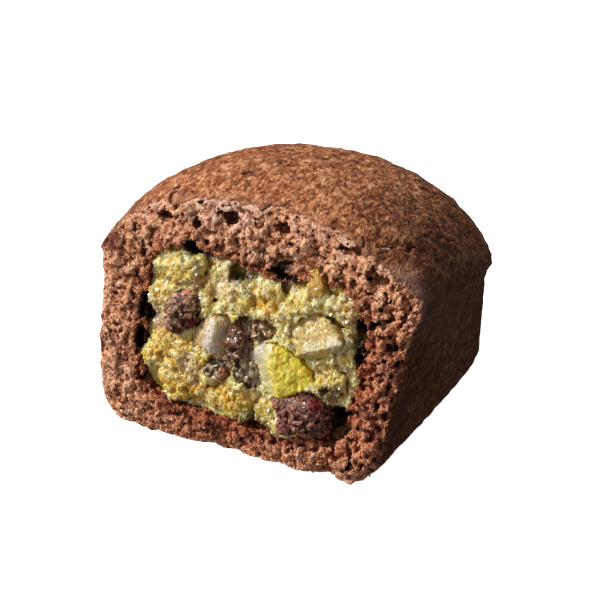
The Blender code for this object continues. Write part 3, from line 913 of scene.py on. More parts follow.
def baked_skin():
    """The matt cocoa skin: tan brown with fine dark and light flecks; darker down the sides, partly from the
    bake and partly as painted shade; painted shade in its pits and cracks and over its right side, and a
    painted sheen on its right wall and shoulder.
    """
    finish = Finish("baked_skin")
    far = finish.near((17.0, 14.0, 24.0), 11.0)
    wall_sheen = finish.near((18.0, 6.0, 18.0), 6.5) * 0.7 + finish.near((18.5, 15.0, 16.5), 9.0) * 0.7
    shoulder_sheen = finish.near((16.6, 3.5, 20.5), 5.0)
    front = finish.near((17.5, 2.5, 8.0), 9.0)
    finish.stretch((1.0, 0.55, 0.85))
    broad = finish.mottle(4.0, 2.0) - 0.5
    patch = finish.mottle(0.75, 2.0, 0.5, 0.3) - 0.5
    fleck = finish.mottle(0.32, 2.0, 0.6, 0.7) - 0.5
    speck = finish.cell_tone(0.3, 0.2) - 0.5
    side = finish.mark("side")
    # Dark pits in the colour alone: painted shade in small holes.
    pit_shade = (0.3 - finish.specks(0.9, 0.6)).held(0.0, 0.2) * (patch + 0.3).held(0.1, 0.5)
    tone = broad * 0.5 + patch * 1.3 + fleck * 1.5 + speck * 0.3 + 0.475 - side * 0.1 - pit_shade * 0.5
    stops = [
        (0.05, (0.090, 0.020, 0.007)),
        (0.34, (0.245, 0.070, 0.022)),
        (0.55, (0.43, 0.155, 0.058)),
        (0.78, (0.60, 0.265, 0.120)),
        (0.97, (0.76, 0.45, 0.27)),
    ]
    base = finish.ramp(tone, stops)
    # Faces turned sideways are darker: partly the deeper bake against the mould, partly painted shade.
    base = finish.mix(side * 0.45, base, (0.15, 0.058, 0.036))
    # Painted shade: the far right of the dome and shoulder made darker and cooler.
    base = finish.mix(far * 0.7, base, (0.66, 0.68, 0.74), "MULTIPLY")
    # Painted sheen: a grey-mauve sheen up the right wall.
    base = finish.mix((wall_sheen + patch + fleck).held(0.0, 1.3) * side * 0.35, base, (0.34, 0.195, 0.150))
    # Painted sheen: a pinkish-grey sheen on the right shoulder by the break.
    base = finish.mix((shoulder_sheen + patch * 0.8 - 0.2).held() * 0.6, base, (0.36, 0.225, 0.195))
    # Painted shade: the right wall darker towards the break.
    base = finish.mix(front * side * 0.8, base, (0.74, 0.64, 0.60), "MULTIPLY")
    rim = (finish.mark("rim") + patch * 1.2 + fleck * 1.2 - 0.2).held()
    base = finish.mix(rim * 0.35, base, (0.50, 0.24, 0.14))
    # Painted shade: the cracks coloured near black.
    base = finish.mix(finish.mark("crack"), base, (0.045, 0.010, 0.005))
    grain = finish.mottle(0.22, 2.0, 0.6, 0.1) + patch * 0.8
    return finish.shade(base, 0.85, finish.bump(grain, 0.2), Specular_IOR_Level=0.2)


def torn_crumb():
    """The torn crumb: light dry grains, pinkish or orange in turn, with painted shade in its hollows and
    pinholes.
    """
    finish = Finish("torn_crumb")
    hollow = finish.mark("hollow")
    grain = finish.mark("tone") - 0.5
    rim = finish.mark("rim")
    fine = finish.mottle(0.17, 1.0, 0.5) - 0.5
    patch = finish.mottle(1.6, 2.0, 0.5, 0.4) - 0.5
    # Dark pinholes in the colour alone, near the rim: painted shade.
    pinhole_shade = (0.32 - finish.specks(0.62, 0.2)).held(0.0, 0.12) * rim
    moist = finish.mark("moist")
    # The tone falls with hollow and with the pinholes: painted shade in the crumb's hollows and holes.
    tone = 0.86 - hollow * 0.92 + grain * 0.5 + fine * 1.3 + patch * 0.7 - pinhole_shade * 0.8 - moist * 0.25
    orange = [
        (0.08, (0.026, 0.006, 0.003)),
        (0.32, (0.19, 0.048, 0.018)),
        (0.55, (0.46, 0.165, 0.070)),
        (0.76, (0.68, 0.31, 0.150)),
        (0.95, (0.86, 0.54, 0.34)),
    ]
    pink = [
        (0.08, (0.028, 0.008, 0.006)),
        (0.32, (0.17, 0.055, 0.032)),
        (0.55, (0.42, 0.185, 0.115)),
        (0.76, (0.64, 0.345, 0.235)),
        (0.95, (0.84, 0.59, 0.46)),
    ]
    place = finish.near((-4.5, 6.5, 24.5), 5.0) * 0.3 + rim * 0.1
    blush = (finish.mottle(2.4, 2.0, 0.5, 0.8) + place).held(0.5, 0.85)
    base = finish.mix(blush, finish.ramp(tone, orange), finish.ramp(tone, pink))
    wine = finish.near((-16.1, 3.4, 18.7), 1.7)
    base = finish.mix(wine * 0.8, base, (0.16, 0.035, 0.018))
    right = finish.near((15.5, 2.2, 8.5), 13.0)
    low = finish.near(on_break(-2.0, 0.5, 0.0), 9.0)
    # Darker and redder on the right, low down and near the jam.
    wet = (right * 0.85 + low * 0.7 + moist * 0.5 + patch * 0.8).held() * 0.9
    base = finish.mix(wet, base, (0.75, 0.48, 0.39), "MULTIPLY")
    # Painted shade: the hollows on the right and near the jam coloured near black.
    deep = (right + moist * 0.6 + patch * 1.6 - 0.35).held(0.0, 0.5) * (hollow * 1.6).held()
    base = finish.mix(deep, base, (0.10, 0.010, 0.008))
    base = finish.mix(gap_shade(finish), base, (0.02, 0.008, 0.005))
    rough = finish.mottle(0.14, 2.0, 0.6, 0.9)
    return finish.shade(base, 0.8, finish.bump(rough, 0.1), Specular_IOR_Level=0.3)


def jam_colour(finish, lift):
    """The jam's colour: golden at the lower left and below, paler above and in the middle."""
    hollow = finish.mark("hollow")
    patch = finish.mottle(1.9, 2.0, 0.5, 0.2) - 0.5
    spot = finish.mottle(0.7, 2.0, 0.5, 0.5) - 0.5
    fine = finish.mottle(0.24, 1.0, 0.5, 0.6) - 0.5
    gold = finish.near_any([(-8.5, 8.0, 0.0, 7.5), (-2.5, 5.0, 0.0, 6.0), (2.0, 16.0, 0.0, 2.2)])
    gold = gold + finish.near_any([(-8.0, 16.8, 0.0, 2.6)]) * 0.6 + patch * 1.2 + spot * 0.8 + 0.1
    # The tone falls with hollow: painted shade in the crevices between clots.
    tone = 0.83 + lift - hollow * 0.64 + patch * 1.0 + spot * 1.1 + fine * 0.3
    pale = [
        (0.06, (0.16, 0.065, 0.012)),
        (0.30, (0.56, 0.30, 0.055)),
        (0.52, (0.83, 0.54, 0.085)),
        (0.78, (0.90, 0.67, 0.165)),
        (1.00, (0.94, 0.81, 0.45)),
    ]
    deep = [
        (0.06, (0.20, 0.065, 0.007)),
        (0.30, (0.64, 0.27, 0.018)),
        (0.52, (0.84, 0.42, 0.034)),
        (0.78, (0.92, 0.58, 0.085)),
        (1.00, (0.93, 0.73, 0.27)),
    ]
    base = finish.mix(gold.held(), finish.ramp(tone, pale), finish.ramp(tone, deep))
    rust = finish.near_any([(-5.2, 16.2, 0.6, 1.9), (10.7, 17.0, 0.6, 2.0), (-2.6, 16.9, 0.0, 1.3)])
    rust = rust + spot * 1.4 + patch - 0.15
    base = finish.mix(rust.held() * 0.65, base, (0.56, 0.19, 0.03))
    frost = finish.mottle(1.3, 2.0, 0.5, 0.9) + finish.near_any([(-2.6, 16.4, 0.0, 2.2)]) * 0.3
    base = finish.mix(frost.held(0.56, 0.74) * 0.35, base, (0.86, 0.76, 0.52))
    cream = finish.near_any([(-10.0, 12.4, 0.0, 2.6), (-5.7, 8.0, 0.0, 2.0)]) + spot * 1.2
    base = finish.mix(cream.held(0.15, 0.9) * 0.7, base, (0.74, 0.54, 0.34))
    shadow = finish.near_any([(-0.4, 9.9, 0.0, 3.4), (9.8, 8.6, 0.0, 1.6)]) + spot
    base = finish.mix(shadow.held(0.2, 0.9) * 0.75, base, (0.16, 0.085, 0.030))
    # Painted shade: dark olive in the gaps at the top middle and at the bottom.
    olive = finish.near_any([(-1.4, 17.9, 0.9, 2.3), (1.6, 3.4, 0.5, 2.4)]) + fine * 0.8 + spot * 0.8
    base = finish.mix(olive.held() * 0.85, base, (0.075, 0.048, 0.014))
    return finish.mix(gap_shade(finish), base, (0.02, 0.011, 0.006))


def gap_shade(finish):
    """How much a place lies in the darkest gaps between the jam and the crumb."""
    above = [(-7.2, 19.9, 1.5, 2.0), (-5.4, 19.7, 1.4, 1.5), (2.9, 19.1, 1.7, 2.2)]
    left = [(-12.0, 12.0, 1.6, 2.1), (-11.9, 9.0, 1.6, 2.0)]
    right = [(12.2, 15.6, 1.5, 1.9), (12.2, 12.8, 1.5, 1.8), (10.6, 5.2, 1.5, 2.3)]
    return finish.near_any(above + left + right).held(0.0, 0.6)


def golden_jam():
    """The jam's clots: wet and a little see-through."""
    finish = Finish("golden_jam")
    rough = finish.mottle(0.22, 2.0, 0.6, 0.8)
    return finish.shade(
        jam_colour(finish, 0.0),
        0.25,
        finish.bump(rough, 0.14),
        Subsurface_Weight=0.75,
        Subsurface_Radius=(1.0, 0.65, 0.25),
        Subsurface_Scale=1.3 * MM,
        Coat_Weight=1.0,
        Coat_Roughness=0.1,
    )


def jam_crystal():
    """The granules on the clots: bright and glassy."""
    finish = Finish("jam_crystal")
    lift = (finish.mark("tone") - 0.5) * 0.4 + 0.1
    return finish.shade(
        jam_colour(finish, lift),
        0.2,
        Subsurface_Weight=0.6,
        Subsurface_Radius=(1.0, 0.7, 0.25),
        Subsurface_Scale=0.9 * MM,
        Coat_Weight=1.0,
        Coat_Roughness=0.06,
    )


def fruit_finish(name, dark, light, wet, spread, veil=()):
    """Cut pineapple: fibres of two tones, a little see-through and wet, with a paler part."""
    finish = Finish(name)
    broad = finish.mottle(1.8, 2.0)
    fine = finish.mottle(0.3, 3.0, 0.6, 0.4)
    glint = finish.mottle(0.15, 1.0, 0.5, 0.9)
    tone = broad * 0.4 + fine * 0.3 + glint * 0.3
    base = finish.mix(tone.held(0.38, 0.62), dark, light)
    for *ball, colour in veil:
        base = finish.mix((finish.near_any([ball]) * 1.2 + glint * 0.7 - 0.45).held(), base, colour)
    return finish.shade(
        base,
        0.3,
        finish.bump(fine * 0.5 + glint, 0.15),
        Subsurface_Weight=0.7,
        Subsurface_Radius=(1.0, 0.7, 0.3),
        Subsurface_Scale=spread * MM,
        Coat_Weight=wet,
        Coat_Roughness=0.12,
    )


def dark_granules(name, dark, light, rough, wet, edges=()):
    """Dark cocoa dough or raisin flesh, in grains of uneven tone, redder at its edges."""
    finish = Finish(name)
    hollow = finish.mark("hollow")
    fine = finish.mottle(0.25) - 0.5
    # The tone falls with hollow: painted shade in the grains' hollows.
    tone = 0.62 - hollow * 0.5 + (finish.cell_tone(0.35) - 0.5) * 0.5 + fine * 0.9
    base = finish.mix(tone.held(0.3, 0.95), dark, light)
    for *ball, colour in edges:
        base = finish.mix((finish.near_any([ball]) + fine - 0.2).held(0.0, 0.8), base, colour)
    bump = finish.bump(finish.mottle(0.17, 2.0, 0.6), 0.12)
    return finish.shade(base, rough, bump, Coat_Weight=wet, Coat_Roughness=0.08)


# Pieces.


def direction(azimuth, elevation):
    """The way from the cake to a camera or a light, from its angles in degrees."""
    a = math.radians(azimuth)
    e = math.radians(elevation)
    return Vector((math.sin(a) * math.cos(e), -math.cos(a) * math.cos(e), math.sin(e)))


def camera_axes():
    """The camera's right, up and backward directions."""
    a = math.radians(CAMERA_AZIMUTH)
    r = math.radians(CAMERA_ROLL)
    back = direction(CAMERA_AZIMUTH, CAMERA_ELEVATION)
    level = Vector((math.cos(a), math.sin(a), 0.0))
    upright = back.cross(level)
    return level * math.cos(r) + upright * math.sin(r), upright * math.cos(r) - level * math.sin(r), back


def seen_on(tree, pixel):
    """The place on a surface, in mm from the cake's middle line, that shows at a pixel."""
    right, up, back = camera_axes()
    eye = Vector(LOOK_AT - TO_FRAME) + back * CAMERA_DISTANCE
    middle = IMAGE_SIZE / 2
    focal = IMAGE_SIZE * CAMERA_LENS / CAMERA_SENSOR
    way = right * (pixel[0] - middle) / focal + up * (middle - pixel[1]) / focal - back
    return tree.ray_cast(eye, way.normalized())[0]


def crack_lines(loaf):
    """The cracks in the skin as (width, depth, points on the skin)."""
    found = []
    for width, depth, pixels in SKIN_CRACKS:
        places = [seen_on(loaf.tree, pixel) for pixel in pixels]
        places = [np.array(place) for place in places if place is not None]
        if len(places) > 1:
            found.append((width, depth, places))
    return found


def line_distance(points, places):
    """How far points are from a line through the places."""
    nearest = np.full(len(points), 1e9)
    for a, b in zip(places, places[1:]):
        along = np.clip((points - a) @ (b - a) / ((b - a) @ (b - a)), 0.0, 1.0)
        nearest = np.minimum(nearest, np.linalg.norm(points - a - along[:, None] * (b - a), axis=1))
    return nearest


def crack_depth(points, lines):
    """How deep the skin's cracks are at points on it, and how much of a crack each point is."""
    sunk = np.zeros(len(points))
    share = np.zeros(len(points))
    x, y, z = points.T
    wander = np.stack([fine_noise(x, y, z, 0.8, 111 + k) for k in range(3)], axis=1) * 0.22
    thin = np.clip(0.9 + 0.6 * fine_noise(x, y, z, 1.3, 121), 0.4, 1.4)
    for width, depth, places in lines:
        near = np.exp(-((line_distance(points + wander, places) / (width * thin)) ** 2))
        sunk = np.maximum(sunk, near * depth)
        share = np.maximum(share, near * min(1.0, depth / 0.3))
    return sunk, share


def cut_grid(loaf):
    """The cutter that leaves the skin: its back follows the break near the rim and dips inside."""
    xs = np.linspace(-20.0, 20.0, 161)
    zs = np.linspace(-2.0, 29.0, 125)
    bm = bmesh.new()
    rows = []
    for x in xs:
        row = []
        for z in zs:
            inside = loaf.depth_at((x, break_plane(z) + 0.4, z))
            spot = (x, 0.0, z)
            ragged = 0.35 + 0.35 * unit_noise(spot, 1.1, 61) + 0.25 * unit_noise(spot, 0.5, 62)
            dip = min(1.0, max(0.0, (inside - 0.45) / 0.6))
            depth = (break_front(x, z, inside) + ragged) * (1.0 - dip) + (CRUMB_BACK - 0.6) * dip
            row.append(bm.verts.new((x, break_plane(z) + depth, z)))
        rows.append(row)
    for first, second in zip(rows, rows[1:]):
        for k in range(len(zs) - 1):
            bm.faces.new((first[k], second[k], second[k + 1], first[k + 1]))
    far = bmesh.ops.extrude_face_region(bm, geom=bm.faces[:])["geom"]
    for item in far:
        if isinstance(item, bmesh.types.BMVert):
            item.co.y = -40.0
    bmesh.ops.recalc_face_normals(bm, faces=bm.faces)
    return mesh_of(bm, "skin_cutter")


def make_skin(loaf, material):
    """The baked skin all round, cut back at the break, with the pocket behind the filling."""
    bm = bmesh.new()
    verts = [bm.verts.new(p) for p in loaf.closed_points]
    for face in loaf.closed_faces:
        bm.faces.new([verts[k] for k in face])
    bmesh.ops.recalc_face_normals(bm, faces=bm.faces)
    lines = crack_lines(loaf)
    close = np.full(len(verts), 1e9)
    for _, _, places in lines:
        close = np.minimum(close, line_distance(loaf.closed_points, places))
    bm.verts.index_update()
    edges = [edge for edge in bm.edges if all(close[vert.index] < 0.75 for vert in edge.verts)]
    bmesh.ops.subdivide_edges(bm, edges=edges, cuts=3, use_grid_fill=True)
    bm.normal_update()
    points = np.array([vert.co for vert in bm.verts])
    normals = np.array([vert.normal for vert in bm.verts])
    x, y, z = points.T
    grain = 0.08 * fine_noise(x, y, z, 1.1, 71) + 0.04 * fine_noise(x, y, z, 0.5, 72)
    sunk, _ = crack_depth(points, lines)
    moved = points + normals * (grain * np.clip(z / 1.0, 0.0, 1.0) - sunk)[:, None]
    for vert, place in zip(bm.verts, moved):
        vert.co = place
    bmesh.ops.triangulate(bm, faces=bm.faces)
    body = mesh_of(bm, "cocoa_skin")
    mesh = cut_mesh(body, [cut_grid(loaf), mesh_of(filling_plug(0.3, -6.0), "pocket_cutter")])
    points = mesh_points(mesh)
    placed = np.clip((points + TO_FRAME) * MM, np.array(cad_low), np.array(cad_high))
    mesh.vertices.foreach_set("co", placed.astype(np.float32).ravel())
    mesh.update()
    normals = np.empty(len(points) * 3, np.float32)
    mesh.vertices.foreach_get("normal", normals)
    side = np.clip((0.93 - normals.reshape(-1, 3)[:, 2]) / 0.45, 0.0, 1.0)
    unmoved = np.array([loaf.tree.find_nearest(Vector(point))[0] for point in points])
    _, share = crack_depth(unmoved, lines)
    behind = points[:, 1] - break_plane(points[:, 2]) - 0.6
    rim = np.clip(1.1 - behind / 1.6, 0.0, 1.0) * np.clip((points[:, 2] - 16.0) / 4.0, 0.0, 1.0)
    return dress("cocoa_skin", mesh, material, {"crack": share, "side": side, "rim": rim}, ["cocoa_crust"])


def jagged_grains(name, sites, radii, material, seed, marks):
    """Many tiny broken grains as one mesh, each stretched, turned and chipped at random."""
    corners = 1.2 * np.array([(1, 0, 0), (0, 1, 0), (-1, 0, 0), (0, -1, 0), (0, 0, 1), (0, 0, -1)])
    ring = [(0, 1), (1, 2), (2, 3), (3, 0)]
    faces = np.array([(a, b, 4) for a, b in ring] + [(b, a, 5) for a, b in ring])
    generator = np.random.default_rng(seed)
    count = len(sites)
    stretch = generator.uniform(0.6, 1.3, (count, 1, 3))
    chipped = generator.uniform(0.72, 1.15, (count, len(corners), 1))
    shapes = corners[None] * stretch * chipped * np.asarray(radii)[:, None, None]
    turns = generator.normal(size=(count, 4))
    turns /= np.linalg.norm(turns, axis=1, keepdims=True)
    w, axis = turns[:, :1, None], turns[:, None, 1:]
    across = np.cross(np.broadcast_to(axis, shapes.shape), shapes)
    shapes = shapes + 2.0 * np.cross(np.broadcast_to(axis, shapes.shape), across + w * shapes)
    points = (shapes + np.asarray(sites)[:, None, :]).reshape(-1, 3)
    index = (faces[None] + (np.arange(count) * len(corners))[:, None, None]).reshape(-1, 3)
    spread = {mark: np.repeat(values, len(corners)) for mark, values in marks.items()}
    new_piece(name, points, index, material, spread).data.shade_flat()


def break_front(x, z, inside):
    """The depth of the torn face: its relief, rounded back towards the rim."""
    return break_relief(x, z) + RIM_ROUNDING[1] * math.exp(-((max(inside, 0.0) / RIM_ROUNDING[0]) ** 2))


def make_crumb(loaf, material):
    """The torn crumb, grown from its relief with pores carved, then strewn with fine grains."""
    field = Field((-18.3, CRUMB_FRONT, -0.25), (18.3, CRUMB_BACK + 0.3, 26.0), CRUMB_STEP)
    xs, zs = field.axes[0], field.axes[2]
    depth_in_loaf = loaf.depths(field, 0.6)
    level = int(round((0.3 - CRUMB_FRONT) / CRUMB_STEP))
    inside = depth_in_loaf[:, level, :]
    rounding = RIM_ROUNDING[1] * np.exp(-((np.maximum(inside, 0.0) / RIM_ROUNDING[0]) ** 2))
    open_side = np.clip((xs[:, None] - 9.0) / 3.0, 0.0, 1.0)
    rough = np.clip(0.25 + inside / 6.0, 0.25, 0.75) + 0.35 * open_side
    front = relief_map(xs, zs) * rough + rounding
    front = front + 0.16 * fine_noise(xs[:, None], 0.0, zs[None, :], 1.2, 81)
    hanging = 0.5 + 0.6 * fine_noise(xs[:, None], 0.0, 0.0, 2.6, 85)
    front = front - FOOT_OVERHANG * hanging * np.exp(-((zs[None, :] / 2.2) ** 2))
    pocket = outline_distance(filling_outline(0.15), xs[:, None], zs[None, :])
    field.value = (front[:, None, :] - field.depth).astype(np.float32)
    field.keep_inside(SKIN_THICKNESS - depth_in_loaf)
    field.keep_inside(-pocket[:, None, :] + 0.12 * fine_noise(field.x, field.depth, field.z, 0.7, 83))
    field.keep_inside(-hull_distance(field, AMBER_CORNERS, SIGHT_LENGTH) - 0.05)
    generator = np.random.default_rng(5)
    places = generator.uniform((-17.4, 0.3), (17.4, 25.0), (CRUMB_PLACES, 2))
    rows = np.round((places - (xs[0], zs[0])) / CRUMB_STEP).astype(int)
    shows = (pocket[rows[:, 0], rows[:, 1]] > 0.1) & (inside[rows[:, 0], rows[:, 1]] > 0.15)
    places = places[shows]
    heights = front[rows[shows][:, 0], rows[shows][:, 1]]
    pores = len(places) // 4
    for (x, z), height in zip(places[:pores], heights[:pores]):
        radius = PORE_RADIUS[0] + PORE_RADIUS[1] * generator.random() ** 3
        if x > WIDE_PORES_FROM or generator.random() < WIDE_PORE_CHANCE:
            radius *= WIDE_PORE_SWELL
        deep = height + generator.uniform(-0.05, 0.15)
        field.carve_ball((x, deep, z), radius * generator.uniform(0.7, 1.4, 3), 0.1)
    for (x, z), height in zip(places[pores : 2 * pores], heights[pores:]):
        radius = KNOB_RADIUS[0] + KNOB_RADIUS[1] * generator.random() ** 2
        out = height + generator.uniform(-0.05, 0.1)
        field.add_ball((x, out, z), radius * generator.uniform(0.8, 1.3, 3), 0.12)
    for _ in range(OPEN_CAVITIES):
        x, z = generator.uniform(*CAVITY_PLACES)
        field.carve_ball((x, 0.7, z), generator.uniform(*CAVITY_RADII), 0.15)
    for (x, z), radii in AIR_HOLES + DARK_GAPS:
        field.carve_ball((x, 0.8, z), radii, 0.15)
    calm = np.clip(0.35 + (inside - 0.5) / 4.0, 0.35, 1.0)[:, None, :]
    for amount, size, seed, calmed in CRUMB_NOISES:
        field.roughen(amount, size, seed, calm if calmed else 1.0)
    field.keep_inside(SKIN_THICKNESS * 0.6 - depth_in_loaf)
    field.keep_inside(field.depth - CRUMB_BACK)
    crowd = field.crowding(0.35)
    points, faces = field.surface()
    hollow = np.clip((field.sample(crowd, points) - 0.42) / 0.36, 0.0, 1.0)
    rim = np.exp(-((np.maximum(field.sample(depth_in_loaf, points), 0.0) / 1.5) ** 2))
    rim = rim * np.clip((points[:, 2] - 20.0) / 2.0, 0.0, 1.0)
    cells = np.round((points[:, [0, 2]] - (xs[0], zs[0])) / CRUMB_STEP).astype(int)
    from_jam = pocket[np.clip(cells[:, 0], 0, len(xs) - 1), np.clip(cells[:, 1], 0, len(zs) - 1)]
    moist = np.exp(-((np.maximum(from_jam, 0.0) / 0.9) ** 2))
    chosen = np.flatnonzero((points[:, 1] < 1.8) & (hollow < 0.85) & (points[:, 2] > 0.2))
    keep = 1.0 - 0.7 * rim[chosen]
    chosen = generator.choice(chosen, CRUMB_GRAINS, replace=False, p=keep / keep.sum())
    radii = CRUMB_GRAIN_RADIUS[0] + CRUMB_GRAIN_RADIUS[1] * generator.random(CRUMB_GRAINS) ** 1.5
    radii *= 1.0 - 0.2 * rim[chosen]
    leaned = points.copy()
    leaned[:, 1] += break_plane(points[:, 2])
    sites = leaned[chosen] + generator.uniform(-0.04, 0.04, (CRUMB_GRAINS, 3))
    sites[:, 1] -= 0.03
    marks = {"hollow": hollow[chosen] * 0.8, "tone": generator.random(CRUMB_GRAINS)}
    marks.update({"rim": rim[chosen], "moist": moist[chosen]})
    jagged_grains("crumb_grains", sites, radii, material, 7, marks)
    marks = {"hollow": hollow, "tone": np.full(len(points), 0.4), "rim": rim, "moist": moist}
    return thin_out(new_piece("torn_crumb", leaned, faces, material, marks), CRUMB_SHARE_KEPT)


def towards_camera(length):
    """The step, in a field, that goes a length forward and stays in the same line of sight."""
    _, _, back = camera_axes()
    forward = back.y - BREAK_LEAN * back.z
    return np.array((back.x, forward, back.z)) * length / -forward


def hull_distance(field, corners, forward):
    """The distance from the hull of a fruit piece's corners, drawn out to the camera by a length."""
    middle_x, middle_z, _ = np.mean(corners, axis=0)
    hull = bmesh.new()
    for x, z, depth in corners:
        depth = depth - FRUIT_FORWARD
        hull.verts.new(np.array((x, depth, z)) + towards_camera(forward))
        far_x = middle_x + (x - middle_x) * FRUIT_TAPER
        far_z = middle_z + (z - middle_z) * FRUIT_TAPER
        hull.verts.new((x, depth, z))
        hull.verts.new((far_x, FRUIT_DEPTH, far_z))
    bmesh.ops.convex_hull(hull, input=hull.verts)
    hull.normal_update()
    centre = np.array((middle_x, FRUIT_DEPTH / 2, middle_z))
    total = 0.0
    for face in hull.faces:
        normal = np.array(face.normal)
        spot = np.array(face.verts[0].co)
        normal = normal if normal @ (spot - centre) > 0 else -normal
        away = (field.x - spot[0]) * normal[0] + (field.depth - spot[1]) * normal[1]
        away = away + (field.z - spot[2]) * normal[2]
        total = total + np.exp(np.minimum(away / FRUIT_SOFTNESS, 40.0))
    hull.free()
    return (np.log(total) * FRUIT_SOFTNESS - 0.2).astype(np.float32)


def jam_lumps():
    """The clots on the jam's face: their centres in a field and their radii."""
    generator = np.random.default_rng(11)
    outline = smooth_outline(FILLING_OUTLINE, FILLING_SIDES)
    middle = np.array(FILLING_MIDDLE)
    golden = math.pi * (3.0 - math.sqrt(5.0))
    found = []
    for k in range(JAM_LUMPS):
        radius = generator.uniform(*JAM_LUMP_RADIUS)
        angle = k * golden + generator.uniform(-0.2, 0.2)
        spoke = outline[int((angle % (2 * math.pi)) / (2 * math.pi) * FILLING_SIDES)] - middle
        reach = 1.0 - 0.9 * radius / np.linalg.norm(spoke)
        x, z = middle + spoke * reach * math.sqrt((k + 0.5) / JAM_LUMPS)
        found.append((np.array((x, JAM_SETBACK + generator.uniform(-0.35, 0.45), z)), radius))
    return found


def make_jam(material, crystal):
    """The jam: granules clotted into lumps over the plug that fills the pocket."""
    field = Field((-12.8, JAM_FRONT, 2.2), (13.4, JAM_BACK + 0.3, 21.0), JAM_STEP)
    xs, zs = field.axes[0], field.axes[2]
    outline = outline_distance(filling_outline(0.05), xs[:, None], zs[None, :])
    bed = JAM_SETBACK + 0.45 + 0.3 * fine_noise(xs[:, None], 0.0, zs[None, :], 1.3, 94)
    field.value = (bed[:, None, :] - field.depth).astype(np.float32)
    generator = np.random.default_rng(21)
    for centre, radius in jam_lumps():
        field.add_ball(centre, np.array((0.9, 0.5, 0.9)) * radius, 0.3)
        for _ in range(int(CLOT_GRANULES * radius**1.5)):
            way = generator.normal(size=3)
            way[1] = -abs(way[1])
            way /= np.linalg.norm(way)
            spot = centre + way * np.array((0.92, 0.5, 0.92)) * radius
            size = generator.uniform(*CLOT_GRANULE_RADIUS)
            field.add_ball(spot, size * generator.uniform(0.75, 1.2, 3), 0.12)
    for (x, z), radii in DARK_GAPS:
        field.carve_ball((x, 0.8, z), radii, 0.2)
    for corners in (BRIGHT_CORNERS, PALE_CORNERS, CLEAR_CORNERS, AMBER_CORNERS):
        field.keep_inside(-hull_distance(field, corners, SIGHT_LENGTH) - 0.08)
    for _, place, radii, *_ in DARK_LUMPS:
        for step in (0.0, 0.7, 1.4, 2.1):
            field.carve_ball(np.array(place) + towards_camera(step), np.array(radii) * 0.92, 0.05)
    field.roughen(0.1, 0.6, 93)
    field.roughen(0.05, 0.3, 95)
    field.keep_inside(np.broadcast_to(outline[:, None, :], field.counts))
    field.keep_inside(field.depth - JAM_BACK)
    crowd = 0.35 * field.crowding(0.35) + 0.65 * field.crowding(0.95)
    points, faces = field.surface()
    hollow = np.clip((field.sample(crowd, points) - 0.42) / 0.3, 0.0, 1.0)
    chosen = np.flatnonzero((points[:, 1] < 1.1) & (hollow < 0.8))
    chosen = generator.choice(chosen, JAM_CRYSTALS, replace=False)
    radii = JAM_CRYSTAL_RADIUS[0] + JAM_CRYSTAL_RADIUS[1] * generator.random(JAM_CRYSTALS) ** 2
    points[:, 1] += break_plane(points[:, 2])
    sites = points[chosen] + generator.uniform(-0.05, 0.05, (JAM_CRYSTALS, 3))
    marks = {"hollow": hollow[chosen], "tone": generator.random(JAM_CRYSTALS)}
    jagged_grains("jam_crystals", sites, radii, crystal, 9, marks)
    jam = new_piece("clotted_jam", points, faces, material, {"hollow": hollow}, ["pineapple_jam"])
    return thin_out(jam, JAM_SHARE_KEPT)


def cut_fruit(name, corners, seed, sugar, material, node):
    """A cut piece of fruit: the hull of its corners, roughened with fibres, strewn with sugar."""
    reach = np.array(corners)[:, [0, 2, 1]]
    low = reach.min(axis=0)
    high = reach.max(axis=0)
    high[1] = max(high[1], FRUIT_DEPTH)
    field = Field(low - 0.6, high + 0.6, FRUIT_STEP)
    field.value = hull_distance(field, corners, 0.0)
    field.roughen(0.1, 1.4, seed)
    across = field.x / 0.3 + field.z * 0.8
    along = field.z / 1.1 - field.x * 0.6
    field.value += (0.03 * fine_noise(across, field.depth / 0.5, along, 1.0, seed + 1)).astype(np.float32)
    field.roughen(0.07, 0.32, seed + 2)
    points, faces = field.surface()
    points[:, 1] += break_plane(points[:, 2])
    generator = np.random.default_rng(seed)
    strewn = generator.choice(len(points), sugar)
    size = generator.uniform(0.03, 0.1, sugar)
    jagged_grains(f"{name}_sugar", points[strewn], size, material, seed, {})
    return new_piece(name, points, faces, material, {}, [node])


def grown_ball(name, place, radii, roughness, seed, grain, granules, replaced, material):
    """A lumpy ball of dark granules: radii across, deep and high."""
    centre = np.array(place)
    reach = np.array(radii) * 1.6 + 0.4
    field = Field(centre - reach, centre + reach, 0.1)
    part, away = field.ball_distance(centre, np.array(radii) * 0.95, 9.0)
    field.value[part] = away
    field.roughen(roughness * min(radii) * 0.8, grain * min(radii), seed)
    generator = np.random.default_rng(seed)
    for _ in range(granules):
        way = generator.normal(size=3)
        way /= np.linalg.norm(way)
        spot = centre + way * np.array(radii) * 0.9
        field.add_ball(spot, generator.uniform(0.12, 0.28) * generator.uniform(0.8, 1.2, 3), 0.06)
    field.roughen(0.08, 0.35, seed + 1)
    field.roughen(0.05, 0.2, seed + 2)
    crowd = field.crowding(0.4)
    points, faces = field.surface()
    hollow = np.clip((field.sample(crowd, points) - 0.36) / 0.4, 0.0, 1.0)
    points[:, 1] += break_plane(points[:, 2])
    strewn = generator.choice(len(points), granules * 4)
    size = generator.uniform(0.07, 0.18, len(strewn))
    jagged_grains(f"{name}_grains", points[strewn], size, material, seed, {"hollow": hollow[strewn] * 0.8})
    return new_piece(name, points, faces, material, {"hollow": hollow}, replaced)


